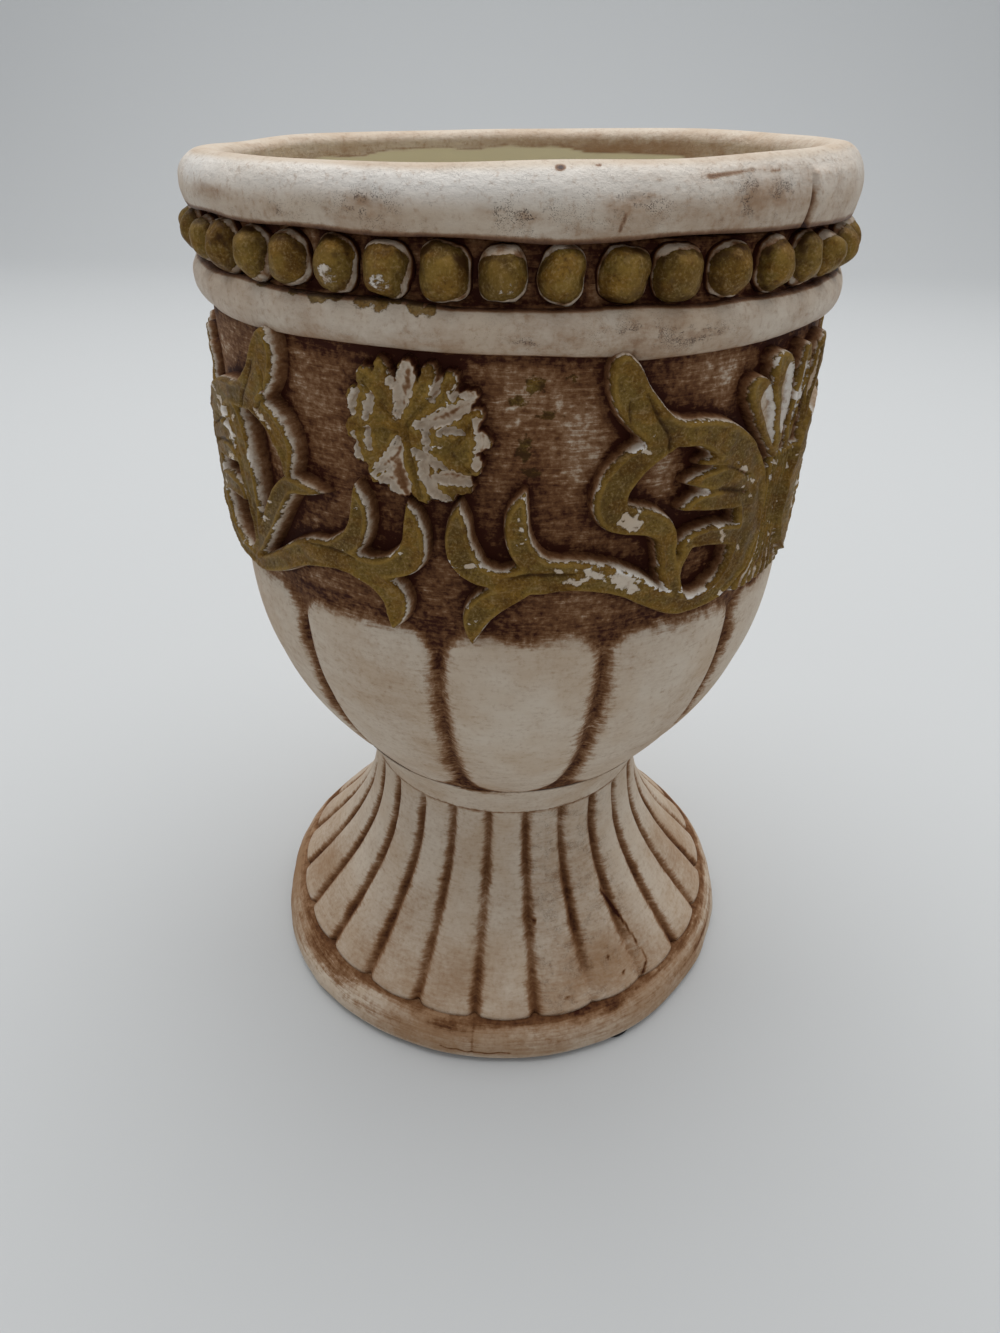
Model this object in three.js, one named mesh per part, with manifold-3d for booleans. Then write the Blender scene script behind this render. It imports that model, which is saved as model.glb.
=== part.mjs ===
// A footed urn vase in antiqued earthenware, as the pieces that a potter lutes together.
// Millimetres, +Z up. The origin is on the axis at the level that the pads rest on, and -Y is the front,
// where medallion_1 sits. Angles are measured round the axis from -Y towards +X.

import * as THREE from 'three';
import { mergeVertices } from 'three/addons/utils/BufferGeometryUtils.js';
import Module from 'manifold-3d';

const wasm = await Module();
wasm.setup();

// Joints between pieces
const slipGap = 0.3; // thickness of the luting slip under whatever is stuck on a curved wall

// Heights of the stacked pieces, from the floor up
const padThickness = 1.0;
const footRingHeight = 10.1;
const pedestalHeight = 48.9;
const collarHeight = 11.6;
const lobeHeight = 56.8;
const friezeHeight = 47.3;
const mouldingHeight = 7.0;
const channelHeight = 8.7;
const rimHeight = 9.6;

// The foot, from its widest part inwards
const footRadius = 65.3; // widest part of the foot ring
const footSlope = 4.0; // how far the ring's face falls back before the reeds start
const footRingWidth = 11.3; // from the widest part in to the ring's hole
const footRingEdge = 1.6; // rounding under the ring
const padInset = 5.7; // from the widest part in to a pad's centre
const padRadius = 5.5;
const padCount = 3;
const padTurn = 42.4; // angle of one pad, degrees

// The pedestal and the neck collar
const waistRadius = 36.05; // narrowest part of the pedestal
const pedestalWall = 6.0;
const flareDrop = 15.8; // how far and how high the pedestal runs in straight from the foot ring
const flareLift = 18;
const waistDrop = 20.4; // how far the waist stays near upright
const collarFlare = 5.65; // how far the collar spreads from the waist to the lobes
const collarWall = 10.05; // from the waist in to the hole through the collar

// The cup, whose plain frieze wall sets the other radii
const friezeRadius = 61.0;
const bowlWall = 5.9; // behind the frieze
const bowlFloor = 7.4;
const floorRadius = 26.0; // flat part of the inner floor
const lobeSwell = 0.85; // how far the lobes' crests stand out past the frieze
const swellSpread = 13.4; // how far and how high the lobes run out straight from the collar
const swellLift = 20.6;
const swellDrop = 22.4; // how far the lobes' upper half stays near upright
const floorSpread = 20; // pulls of the corner between inner wall and floor
const floorLift = 7;

// What stands on the frieze wall over the relief
const mouldingStand = 2.8; // crest of the half-round moulding
const mouldingLip = 0.6; // flat edge of the moulding, where it meets the wall
const channelDepth = 0.7; // how far the wall behind the beads is set back
const rimThickness = 8.5; // from the mouth out to the bulge of the rim coil
const rimUndercut = 0.6; // how far the coil's seat lies inside its bulge
const rimCrown = 3.6; // from the mouth out to the coil's highest line
const rimShoulder = 5.2; // from the coil's highest line down to its bulge
const rimLip = 2.4; // rounding on the mouth's side
const rimTuck = 28; // how far round the coil curls under its bulge, degrees

// Lobes and reeds
const lobeCount = 12;
const lobeGroove = 2.4; // depth of the grooves between the lobes
const lobeEase = 1.5; // how far the lobes' corners fall away at both ends
const lobeEnd = 4.0; // height over which a lobe's end rounds off
const lobeStep = 1.2; // height over which the lobes step back to the frieze
const reedCount = 24;
const reedGroove = 1.3;
const reedBow = 0.5; // how far a reed's edges fall below its middle
const reedTurn = 6.4; // angle of one groove, degrees
const reedFade = 0.2; // share of a reed's depth that it keeps at any width

// Beads
const beadCount = 44;
const beadDepth = 4.8; // from its flat back to its crest
const beadGap = 0.35; // clear height over and under a bead
const beadSpacing = 0.65; // clear width between two beads, along the wall
const beadTurn = 2.7; // angle of one bead, degrees

// Relief on the frieze
const repeats = 3; // medallions, and garlands, round the frieze
const reliefRise = 3.4; // crest of a leaf over the wall
const reliefShoulder = 1.9; // where a leaf's steep sides turn into its crown
const reliefSink = 1.6; // how far a leaf is carried below the wall before its back is cut to fit it
const leafFullness = 1.12; // widths of the drawn leaves and stems times this
const leafTip = 0.3; // least half width of a leaf
const leafTipRise = 0.5; // height of its two ends over the wall
const medallionRadius = 11.6;
const medallionDome = 3.9;
const medallionGap = 0.6; // clear height between a medallion and the moulding
const medallionShift = -2.2; // to the left of the garlands' mirror line, along the wall
const medallionLobes = 8;

// Facets
const reedFacets = 4;
const lobeFacets = 5;
const turnFacets = lobeCount * lobeFacets;
const swellSteps = 8;
const insideSteps = 6;
const flareSteps = 6;
const flareInsideSteps = 4;

// Levels and radii that follow
const footBottom = padThickness;
const pedestalBottom = footBottom + footRingHeight;
const collarBottom = pedestalBottom + pedestalHeight;
const bowlBottom = collarBottom + collarHeight;
const friezeBottom = bowlBottom + lobeHeight;
const mouldingBottom = friezeBottom + friezeHeight;
const channelBottom = mouldingBottom + mouldingHeight;
const rimBottom = channelBottom + channelHeight;
const rimTop = rimBottom + rimHeight;
const footTopRadius = footRadius - footSlope;
const footRingBore = footRadius - footRingWidth;
const collarTopRadius = waistRadius + collarFlare;
const collarBore = waistRadius - collarWall;
const lobeRadius = friezeRadius + lobeSwell;
const channelRadius = friezeRadius - channelDepth;
const mouthRadius = friezeRadius - bowlWall;

const degrees = THREE.MathUtils.degToRad;

// Finishes
const finish = (color, roughness) => new THREE.MeshStandardMaterial({ color, roughness, metalness: 0 });
const creamClay = finish('#d9cdbd', 0.75);
const washedClay = finish('#b79f8c', 0.8);
const oldGold = finish('#8a7436', 0.6);
const blackFelt = finish('#1d1b1a', 0.95);

const vase = new THREE.Group();

function place(name, geometry, material) {
  const mesh = new THREE.Mesh(geometry, material);
  mesh.name = name;
  vase.add(mesh);
  return mesh;
}

// Merge the shared corners and drop the slivers at poles, so that the skin is one closed net.
function weld(geometry) {
  geometry.deleteAttribute('normal');
  geometry.deleteAttribute('uv');
  const merged = mergeVertices(geometry, 1e-4);
  const kept = [];
  const index = merged.index.array;
  for (let corner = 0; corner < index.length; corner += 3) {
    const [a, b, c] = index.slice(corner, corner + 3);
    if (a !== b && b !== c && c !== a) kept.push(a, b, c);
  }
  merged.setIndex(kept);
  merged.computeVertexNormals();
  return merged;
}

function toSolid(geometry) {
  return new wasm.Manifold(new wasm.Mesh({
    numProp: 3,
    vertProperties: new Float32Array(geometry.attributes.position.array),
    triVerts: new Uint32Array(geometry.index.array),
  }));
}

function toGeometry(solid) {
  const mesh = solid.getMesh();
  const geometry = new THREE.BufferGeometry();
  geometry.setAttribute('position', new THREE.BufferAttribute(new Float32Array(mesh.vertProperties), 3));
  geometry.setIndex(new THREE.BufferAttribute(new Uint32Array(mesh.triVerts), 1));
  geometry.computeVertexNormals();
  return geometry;
}

// A turned piece. The profile is a list of Vector2(radius, height), run anticlockwise as seen with the axis
// on the left. carve, if given, moves a corner: it takes its row, angle, radius and height and returns the
// new angle and radius.
function turned(profile, facets, carve = null) {
  const geometry = new THREE.LatheGeometry(profile, facets);
  const position = geometry.attributes.position;
  for (let i = 0; i < position.count && carve; i += 1) {
    const row = i % profile.length;
    const facet = Math.floor(i / profile.length) % facets;
    const { x: radius, y: height } = profile[row];
    const [angle, carved] = carve(row, facet, radius, height);
    position.setXYZ(i, carved * Math.sin(angle), height, carved * Math.cos(angle));
  }
  geometry.rotateX(Math.PI / 2);
  return weld(geometry);
}

const at = (radius, height) => new THREE.Vector2(radius, height);

function bend(start, startPull, endPull, end, steps) {
  return new THREE.CubicBezierCurve(start, startPull, endPull, end).getPoints(steps);
}

function arc(centre, acrossRadius, upRadius, from, to, steps) {
  const ellipse = new THREE.EllipseCurve(
    centre.x, centre.y, acrossRadius, upRadius, degrees(from), degrees(to), to < from,
  );
  return ellipse.getPoints(steps);
}

// The cup's outer swell, from the collar to the widest height of the lobes
const swellTop = friezeBottom - lobeEnd;
const swell = (offset, steps) => bend(
  at(collarTopRadius + offset, bowlBottom),
  at(collarTopRadius + offset + swellSpread, bowlBottom + swellLift),
  at(lobeRadius + offset, swellTop - swellDrop),
  at(lobeRadius + offset, swellTop),
  steps,
);

// Outside of the cup. A positive offset gives the same wall, that much larger, for fitting things to it.
const cupOutside = (offset) => [
  ...swell(offset, swellSteps),
  at((lobeRadius + friezeRadius) / 2 + offset, friezeBottom - lobeStep),
  at(friezeRadius + offset, friezeBottom),
  at(friezeRadius + offset, channelBottom),
];

// Five facets to a lobe: the groove's bottom, its two shoulders, and the two sides of the flat crown.
// Places are shares of a lobe's width.
const lobePlaces = [0, 0.107, 0.35, 0.65, 0.893];
const lobeFall = [lobeGroove, 0, 0, 0, 0];
const lobeCorner = [1, 1, 0.15, 0.15, 1];

function carveLobes(row, facet, radius, height) {
  const inLobe = facet % lobeFacets;
  const lobe = Math.floor(facet / lobeFacets);
  const plain = (facet * 360) / turnFacets;
  if (row === 0 || row > swellSteps + 1) return [degrees(plain), radius];
  const angle = ((lobe + lobePlaces[inLobe]) * 360) / lobeCount;
  const fromEnd = Math.min(height - bowlBottom, friezeBottom - height);
  const grown = Math.min(1, fromEnd / lobeEnd);
  const rounding = (1 - grown) * lobeCorner[inLobe] * lobeEase;
  return [degrees(angle), radius - grown * lobeFall[inLobe] - rounding];
}

// The cup, from the middle of its underside, up its outside, over the rim seat and down its inside
const floorLevel = bowlBottom + bowlFloor;
const cupInside = [
  at(mouthRadius, rimBottom),
  ...bend(
    at(mouthRadius, swellTop),
    at(mouthRadius, swellTop - swellDrop),
    at(floorRadius + floorSpread, floorLevel + floorLift),
    at(floorRadius, floorLevel),
    insideSteps,
  ),
  at(0, floorLevel),
];
const outsideRows = cupOutside(0).length;
place('bowl', turned([
  at(0, bowlBottom),
  ...cupOutside(0),
  at(channelRadius, channelBottom),
  at(channelRadius, rimBottom),
  ...cupInside,
], turnFacets, (row, facet, radius, height) => {
  if (row >= 1 && row <= outsideRows) return carveLobes(row - 1, facet, radius, height);
  return [degrees((facet * 360) / turnFacets), radius];
}), creamClay);

// The rim: a coil rolled outwards over the cup's edge
const rimCrest = at(mouthRadius + rimCrown, rimTop - rimShoulder);
place('rim_coil', turned([
  at(mouthRadius, rimBottom),
  at(mouthRadius + rimThickness - rimUndercut, rimBottom),
  ...arc(rimCrest, rimThickness - rimCrown, rimShoulder, -rimTuck, 90, 5),
  ...arc(at(rimCrest.x, rimTop - rimLip), rimCrown, rimLip, 90, 180, 2).slice(1),
  at(mouthRadius, rimBottom),
], turnFacets), creamClay);

// The half-round moulding under the beads, slipped round the cup's wall
const mouldingBore = friezeRadius + slipGap;
const mouldingCentre = at(mouldingBore + mouldingLip, mouldingBottom + mouldingHeight / 2);
const mouldingReach = mouldingStand - slipGap - mouldingLip;
place('lower_moulding', turned([
  at(mouldingBore, mouldingBottom),
  ...arc(mouldingCentre, mouldingReach, mouldingHeight / 2, -90, 90, 5),
  at(mouldingBore, channelBottom),
  at(mouldingBore, mouldingBottom),
], turnFacets), creamClay);

// The beads: flat-backed pellets pressed to the wall of the channel. A bead is turned one unit in radius
// and height, then sized to its place.
const beadSeat = channelRadius + slipGap;
const beadWide = (Math.PI * beadSeat) / beadCount - beadSpacing / 2;
const beadHigh = channelHeight / 2 - beadGap;
const beadProfile = [at(0, 0), at(0.95, 0), at(1, 0.36), at(0.66, 0.86), at(0, 1)];
for (let i = 0; i < beadCount; i += 1) {
  const pellet = turned(beadProfile, 8);
  pellet.scale(beadWide, beadHigh, beadDepth);
  const bead = place(`bead_${String(i + 1).padStart(2, '0')}`, pellet, oldGold);
  const angle = degrees(beadTurn + (i * 360) / beadCount);
  bead.rotation.set(Math.PI / 2, angle, 0, 'ZXY');
  bead.position.set(beadSeat * Math.sin(angle), -beadSeat * Math.cos(angle), (channelBottom + rimBottom) / 2);
}

// The plain cove between cup and pedestal. Its curve is in shares of its spread and height.
const coveCurve = [[0, 0], [0.16, 0.4], [0.46, 0.55], [1, 1]];
place('neck_collar', turned([
  at(collarBore, collarBottom),
  ...bend(
    ...coveCurve.map(([out, up]) => at(waistRadius + collarFlare * out, collarBottom + collarHeight * up)),
    4,
  ),
  at(collarBore, bowlBottom),
  at(collarBore, collarBottom),
], turnFacets), creamClay);

// The hollow pedestal and its reeds. A reed's groove, side, crown and side are at shares of its width.
const flare = (inset, steps) => bend(
  at(footTopRadius - inset, pedestalBottom),
  at(footTopRadius - inset - flareDrop, pedestalBottom + flareLift),
  at(waistRadius - inset, collarBottom - waistDrop),
  at(waistRadius - inset, collarBottom),
  steps,
);
const reedPlaces = [0, 0.127, 0.5, 0.873];
const reedFall = [reedGroove + reedBow, reedBow, 0, reedBow];
place('pedestal', turned([
  ...flare(0, flareSteps),
  ...flare(pedestalWall, flareInsideSteps).reverse(),
  at(footTopRadius, pedestalBottom),
], reedCount * reedFacets, (row, facet, radius) => {
  const carved = row < flareSteps || row > flareSteps + flareInsideSteps + 1;
  const reed = Math.floor(facet / reedFacets) + reedPlaces[facet % reedFacets];
  const slim = Math.min(1, radius / footTopRadius + reedFade);
  const fall = carved ? reedFall[facet % reedFacets] * slim : 0;
  return [degrees(reedTurn + (reed * 360) / reedCount), radius - fall];
}), creamClay);

// The sloped plinth ring. Its face's curve is in shares of its slope and height.
const ringFace = [[0.075, 0.3], [0.225, 0.55], [0.55, 0.8], [1, 1]];
place('foot_ring', turned([
  at(footRingBore, footBottom),
  at(footRadius - footRingEdge, footBottom),
  at(footRadius, footBottom + footRingEdge),
  ...bend(
    ...ringFace.map(([back, up]) => at(footRadius - footSlope * back, footBottom + footRingHeight * up)),
    3,
  ),
  at(footRingBore, pedestalBottom),
  at(footRingBore, footBottom),
], turnFacets), washedClay);

// The pads under the foot
const padSeat = footRadius - padInset;
for (let i = 0; i < padCount; i += 1) {
  const disc = new THREE.CylinderGeometry(padRadius, padRadius, padThickness, 20);
  disc.rotateX(Math.PI / 2);
  const pad = place(`foot_pad_${i + 1}`, weld(disc), blackFelt);
  const angle = degrees(padTurn + (i * 360) / padCount);
  pad.position.set(padSeat * Math.sin(angle), -padSeat * Math.cos(angle), padThickness / 2);
}

// The relief is drawn on the unrolled frieze, on a grid of 64 columns from a medallion's mirror line to a
// palmette's middle, and 47 rows from the frieze's foot to the moulding.
const halfRepeat = (Math.PI * friezeRadius) / repeats;
const columnWidth = halfRepeat / 64;
const rowHeight = friezeHeight / 47;

// A leaf or stem of the relief, in millimetres: x along the wall, y up it and z out of it.
// A ball is drawn out along the middle line, so its two poles are the leaf's ends.
const leafSides = [
  [1, -reliefSink], [0.9, reliefShoulder], [0, reliefRise], [-0.9, reliefShoulder], [-1, -reliefSink],
];
function leaf(middle, halfWidths, rings) {
  const line = new THREE.CatmullRomCurve3(middle.map(([x, y]) => new THREE.Vector3(x, y, 0)));
  const widths = new THREE.CatmullRomCurve3(halfWidths.map((half, i) => new THREE.Vector3(i, half, 0)));
  const sides = leafSides.length;
  const geometry = new THREE.SphereGeometry(1, sides, rings);
  const position = geometry.attributes.position;
  for (let i = 0; i < position.count; i += 1) {
    const ring = Math.floor(i / (sides + 1));
    const along = ring / rings;
    const [across, out] = leafSides[(i % (sides + 1)) % sides];
    const centre = line.getPoint(along);
    const heading = line.getTangent(along);
    const pole = ring === 0 || ring === rings;
    const half = pole ? 0 : Math.max(leafTip, widths.getPoint(along).y) * leafFullness;
    const height = pole ? leafTipRise : out;
    position.setXYZ(i, centre.x + heading.y * across * half, centre.y - heading.x * across * half, height);
  }
  return weld(geometry);
}

// A leaf given in grid units. Its points run from the column at which the grid's zero lies, or back from it.
function drawnLeaf({ middle, halfWidths, rings }, zero = 0, sense = 1) {
  const points = middle.map(([across, up]) => [zero + sense * across * columnWidth, up * rowHeight]);
  return leaf(points, halfWidths.map((half) => (half * (columnWidth + rowHeight)) / 2), rings);
}

// Wrap an unrolled piece round the frieze wall, its x = 0 at the given angle.
function wrap(geometry, turn) {
  const position = geometry.attributes.position;
  for (let i = 0; i < position.count; i += 1) {
    const angle = degrees(turn) + position.getX(i) / friezeRadius;
    const radius = friezeRadius + position.getZ(i);
    const height = friezeBottom + position.getY(i);
    position.setXYZ(i, radius * Math.sin(angle), -radius * Math.cos(angle), height);
  }
  return geometry;
}

// The cup's outside, one slip joint larger, which cuts the back of the relief to fit
const reliefSeat = toSolid(turned([
  at(0, bowlBottom),
  ...cupOutside(slipGap),
  at(0, channelBottom),
], turnFacets, (level, facet, radius, height) => (level === 0 || level > outsideRows
  ? [degrees((facet * 360) / turnFacets), radius]
  : carveLobes(level - 1, facet, radius, height))));

function sprig(pieces, turn) {
  const solids = pieces.map((piece) => toSolid(wrap(piece, turn)));
  const joined = solids.reduce((all, solid) => all.add(solid));
  return joined.subtract(reliefSeat);
}

// The medallion: a dome ringed with leaf lobes, all in shares of its radius and dome
const medallionHeight = friezeHeight - medallionGap - medallionRadius;
const domeShare = 0.78;
const domeCurve = [[1, 0.5], [0.6, 0.86], [0, 1]];
const lobeLeaf = [[0.3, 0.19], [0.7, 0.29], [1, 0.09]]; // place from the middle outwards, half width

function medallionDisc(radius, curve, rise) {
  const disc = turned([
    at(0, -reliefSink),
    at(radius, -reliefSink),
    ...curve.map(([out, up]) => at(radius * out, rise * up)),
  ], 16);
  disc.translate(medallionShift, medallionHeight, 0);
  return disc;
}

function medallionPieces() {
  const pieces = [medallionDisc(medallionRadius * domeShare, domeCurve, medallionDome)];
  for (let i = 0; i < medallionLobes; i += 1) {
    const angle = degrees(((i + 0.5) * 360) / medallionLobes);
    const middle = lobeLeaf.map(([out]) => [
      medallionShift + medallionRadius * out * Math.cos(angle),
      medallionHeight + medallionRadius * out * Math.sin(angle),
    ]);
    pieces.push(leaf(middle, lobeLeaf.map(([, half]) => half * medallionRadius), 4));
  }
  return pieces;
}

// One scroll of the garland, from the medallion's mirror line and up from the frieze's foot: the long stem
// that curls round the eye and up into the top leaf, then its side leaves.
const scroll = [
  {
    middle: [[9, 10], [16, 11], [24, 11.2], [31, 9.2], [37, 5.6], [43, 3.2], [49, 2.4], [54.6, 5.2],
      [58, 10.6], [58.8, 16.6], [57.4, 23], [54, 29], [49.2, 33], [43, 34.6], [37, 35.6], [33, 38.8],
      [30.6, 42.8], [29.4, 46.6]],
    halfWidths: [1.4, 3.2, 3.4, 3, 2.6, 2.5, 2.4, 3, 3.8, 4, 3.7, 3.3, 2.8, 2.5, 3, 3, 2.6, 0.4],
    rings: 17,
  },
  {
    middle: [[5, 24.6], [4.4, 19], [5.6, 14.4], [9, 11], [15, 10.4]],
    halfWidths: [0.3, 2.2, 2.5, 2.5, 1.5],
    rings: 6,
  },
  { middle: [[7, -2.6], [7.2, 2.2], [10.4, 6.4], [16, 9.6]], halfWidths: [0.2, 2.3, 2.3, 1.4], rings: 5 },
  {
    middle: [[15, 26.6], [14.2, 21.6], [15.4, 17.4], [19, 13.8], [25, 12]],
    halfWidths: [0.3, 2.2, 2.4, 2.2, 1.2],
    rings: 6,
  },
  {
    middle: [[38, 34], [32.4, 31], [29, 26.2], [30.2, 22], [35, 19.6], [39, 16], [41.4, 10.6], [43.4, 5.4]],
    halfWidths: [2, 2.8, 2.8, 3.4, 3.2, 2.6, 2.2, 1.4],
    rings: 9,
  },
  { middle: [[23, 22.2], [27.4, 21.2], [33, 19.4]], halfWidths: [0.3, 1.9, 1.6], rings: 4 },
  { middle: [[43, 14], [44.6, 16.2], [49, 16.2], [55, 14.2]], halfWidths: [0.6, 1.6, 2.2, 1.8], rings: 5 },
  { middle: [[43.2, 25.6], [48, 25.4], [53.4, 23.6], [58, 20]], halfWidths: [0.6, 4, 4, 2.4], rings: 5 },
];

// The palmette between two scrolls, from its own middle: its bundle of stalks and five petals
const palmette = [
  { middle: [[0, 24], [0, 13], [0, 5], [0, 0.6]], halfWidths: [2.2, 2.6, 3.6, 4.6], rings: 4 },
  { middle: [[0, 22], [0, 33], [0, 41], [0, 45.6]], halfWidths: [1.6, 2.2, 2.9, 1.2], rings: 5 },
  { middle: [[1, 22], [3.6, 30], [7, 36.6], [9.6, 41]], halfWidths: [1.4, 2.1, 2.7, 1.2], rings: 5 },
  { middle: [[-1, 22], [-3.6, 30], [-7, 36.6], [-9.6, 41]], halfWidths: [1.4, 2.1, 2.7, 1.2], rings: 5 },
  { middle: [[1.6, 19], [4.2, 25], [6.8, 31.6]], halfWidths: [1, 1.6, 0.9], rings: 4 },
  { middle: [[-1.6, 19], [-4.2, 25], [-6.8, 31.6]], halfWidths: [1, 1.6, 0.9], rings: 4 },
];

function garlandPieces() {
  const pieces = palmette.map((part) => drawnLeaf(part));
  for (const part of scroll) {
    pieces.push(drawnLeaf(part, -halfRepeat, 1), drawnLeaf(part, halfRepeat, -1));
  }
  return pieces;
}

// A garland's leaf tips are trimmed where they would meet the medallions on either side of it.
const clearRise = reliefRise + reliefSink;
for (let i = 0; i < repeats; i += 1) {
  const front = (i * 360) / repeats;
  place(`medallion_${i + 1}`, toGeometry(sprig(medallionPieces(), front)), oldGold);
  let garland = sprig(garlandPieces(), front + 180 / repeats);
  for (const side of [front, front + 360 / repeats]) {
    const room = medallionDisc(medallionRadius + slipGap, [[1, 1], [0, 1]], clearRise);
    garland = garland.subtract(toSolid(wrap(room, side)));
  }
  place(`garland_${i + 1}`, toGeometry(garland), oldGold);
}

export default vase;
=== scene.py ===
# A footed urn vase in antiqued earthenware: every visible surface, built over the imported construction.
import math
import bmesh
import bpy
import numpy as np
from mathutils import Matrix, Vector


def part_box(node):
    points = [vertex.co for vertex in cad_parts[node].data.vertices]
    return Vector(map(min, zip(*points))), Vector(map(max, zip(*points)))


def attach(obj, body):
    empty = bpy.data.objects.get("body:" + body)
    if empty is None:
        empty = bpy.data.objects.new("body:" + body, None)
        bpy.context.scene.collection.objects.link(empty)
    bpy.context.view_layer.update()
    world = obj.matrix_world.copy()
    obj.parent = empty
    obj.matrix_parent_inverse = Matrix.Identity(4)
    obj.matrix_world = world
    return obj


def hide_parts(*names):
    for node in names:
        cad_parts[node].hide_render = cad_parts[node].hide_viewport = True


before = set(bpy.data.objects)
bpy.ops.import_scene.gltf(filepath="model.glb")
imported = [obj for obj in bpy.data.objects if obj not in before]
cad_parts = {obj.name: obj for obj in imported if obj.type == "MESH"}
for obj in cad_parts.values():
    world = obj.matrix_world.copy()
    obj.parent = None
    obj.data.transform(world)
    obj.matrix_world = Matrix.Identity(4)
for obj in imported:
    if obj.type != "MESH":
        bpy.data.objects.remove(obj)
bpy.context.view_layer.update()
mm = 0.001


def levels(node):
    low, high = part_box(node)
    return low.z / mm, high.z / mm


bowlFoot, bowlTop = levels("bowl")
rimFoot, rimTop = levels("rim_coil")
mouldingFoot, mouldingTop = levels("lower_moulding")
collarFoot, collarTop = levels("neck_collar")
reedFoot, reedTop = levels("pedestal")
ringFoot, ringTop = levels("foot_ring")


# Camera: at the photograph's place, in millimetres and degrees
view = {
    "distance": 195.3,
    "height": 209.1,
    "side": 12.4,  # round the vase, from the front medallion
    "heading": -12.97,
    "pitch": 33.60,
    "roll": 1.08,
    "lens": 23.5,
}


def buildCamera(opts):
    side, heading, pitch, roll = (math.radians(opts[key]) for key in ("side", "heading", "pitch", "roll"))
    ahead = Vector((math.cos(pitch) * math.sin(heading),
                    math.cos(pitch) * math.cos(heading),
                    -math.sin(pitch)))
    level = Vector((math.cos(heading), -math.sin(heading), 0))
    upward = level.cross(ahead)
    right = math.cos(roll) * level + math.sin(roll) * upward
    top = -math.sin(roll) * level + math.cos(roll) * upward
    turn = Matrix((right, top, -ahead)).transposed().to_4x4()
    away = opts["distance"]
    place = Vector((away * math.sin(side), -away * math.cos(side), opts["height"])) * mm
    data = bpy.data.cameras.new("photoCamera")
    data.sensor_width = 36
    data.lens = opts["lens"]
    data.clip_start = 0.01
    camera = bpy.data.objects.new("photoCamera", data)
    camera.matrix_world = Matrix.Translation(place) @ turn
    bpy.context.scene.collection.objects.link(camera)
    bpy.context.scene.camera = camera


buildCamera(view)
print("camera placed")


# Curves and noise
def bezier(start, startPull, endPull, end, steps):
    t = np.linspace(0, 1, steps + 1)[:, None]
    a, b, c, d = (np.array(p, float) for p in (start, startPull, endPull, end))
    return (1 - t) ** 3 * a + 3 * (1 - t) ** 2 * t * b + 3 * (1 - t) * t ** 2 * c + t ** 3 * d


def ellipse(centre, across, up, fromAngle, toAngle, steps):
    t = np.radians(np.linspace(fromAngle, toAngle, steps + 1))
    return np.stack([centre[0] + across * np.cos(t), centre[1] + up * np.sin(t)], 1)


def straight(start, end, steps):
    t = np.linspace(0, 1, steps + 1)[:, None]
    return np.array(start, float) * (1 - t) + np.array(end, float) * t


def joinCurves(*curves):
    rows = [curves[0]]
    for curve in curves[1:]:
        rows.append(curve[1:] if np.allclose(curve[0], rows[-1][-1]) else curve)
    return np.concatenate(rows)


def smoothCurve(points, steps=8):
    # Catmull-Rom through points of any width
    p = np.array(points, float)
    before, after = np.vstack([p[:1], p[:-1]]), np.vstack([p[1:], p[-1:]])
    last = np.vstack([p[2:], p[-1:], p[-1:]])
    out = []
    for i in range(len(p) - 1):
        t = np.linspace(0, 1, steps, endpoint=False)[:, None]
        a, b, c, d = before[i], p[i], after[i], last[i]
        squared = (2 * a - 5 * b + 4 * c - d) * t ** 2
        cubed = (3 * b - a - 3 * c + d) * t ** 3
        out.append(0.5 * (2 * b + (c - a) * t + squared + cubed))
    return np.vstack(out + [p[-1:]])


def ease(low, high, value):
    t = np.clip((value - low) / (high - low), 0, 1)
    return t * t * (3 - 2 * t)


def softMax(a, b, reach):
    # the higher of two surfaces, with the corner between them filled over the reach
    near = np.maximum(reach - np.abs(a - b), 0) / reach
    return np.maximum(a, b) + near * near * reach / 4


def lumps(points, size, seed, waves=26):
    # smooth noise of about -1 to 1, with features of the given size in mm
    rng = np.random.default_rng(seed)
    ways = rng.normal(size=(waves, 3))
    ways /= np.linalg.norm(ways, axis=1)[:, None]
    rates = 2 * math.pi / (size * rng.uniform(0.8, 2.2, waves))
    phases = rng.uniform(0, 2 * math.pi, waves)
    total = np.zeros(len(points))
    for way, rate, phase in zip(ways, rates, phases):
        total += np.sin(points @ way * rate + phase)
    return total / math.sqrt(waves)


# Meshes
def finishMesh(name, bm, recalc=True):
    if recalc:
        bmesh.ops.recalc_face_normals(bm, faces=bm.faces)
    mesh = bpy.data.meshes.new(name)
    bm.to_mesh(mesh)
    bm.free()
    mesh.polygons.foreach_set("use_smooth", np.ones(len(mesh.polygons), bool))
    return mesh


def turnProfile(name, profile, steps, closed):
    # a flat sheet of steps by rows, wrapped round the axis and sewn along its edges
    rows = np.vstack([profile, profile[:1]]) if closed else profile
    bm = bmesh.new()
    bmesh.ops.create_grid(bm, x_segments=steps, y_segments=len(rows) - 1, size=0.5)
    for vert in bm.verts:
        turn = (vert.co.x + 0.5) * 2 * math.pi
        radius, height = rows[round((vert.co.y + 0.5) * (len(rows) - 1))]
        vert.co = (radius * math.sin(turn) * mm, -radius * math.cos(turn) * mm, height * mm)
    bmesh.ops.remove_doubles(bm, verts=bm.verts, dist=1e-6)
    return finishMesh(name, bm)


def corners(mesh):
    places = np.empty(len(mesh.vertices) * 3, np.float32)
    mesh.vertices.foreach_get("co", places)
    return places.reshape(-1, 3).astype(float) / mm


def polar(places):
    # angle round from the front, distance from the axis, and height
    x, y, z = places.T
    return np.arctan2(x, -y), np.hypot(x, y), z.copy()


def fromPolar(angle, radius, height):
    return np.stack([radius * np.sin(angle), -radius * np.cos(angle), height], 1)


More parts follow.
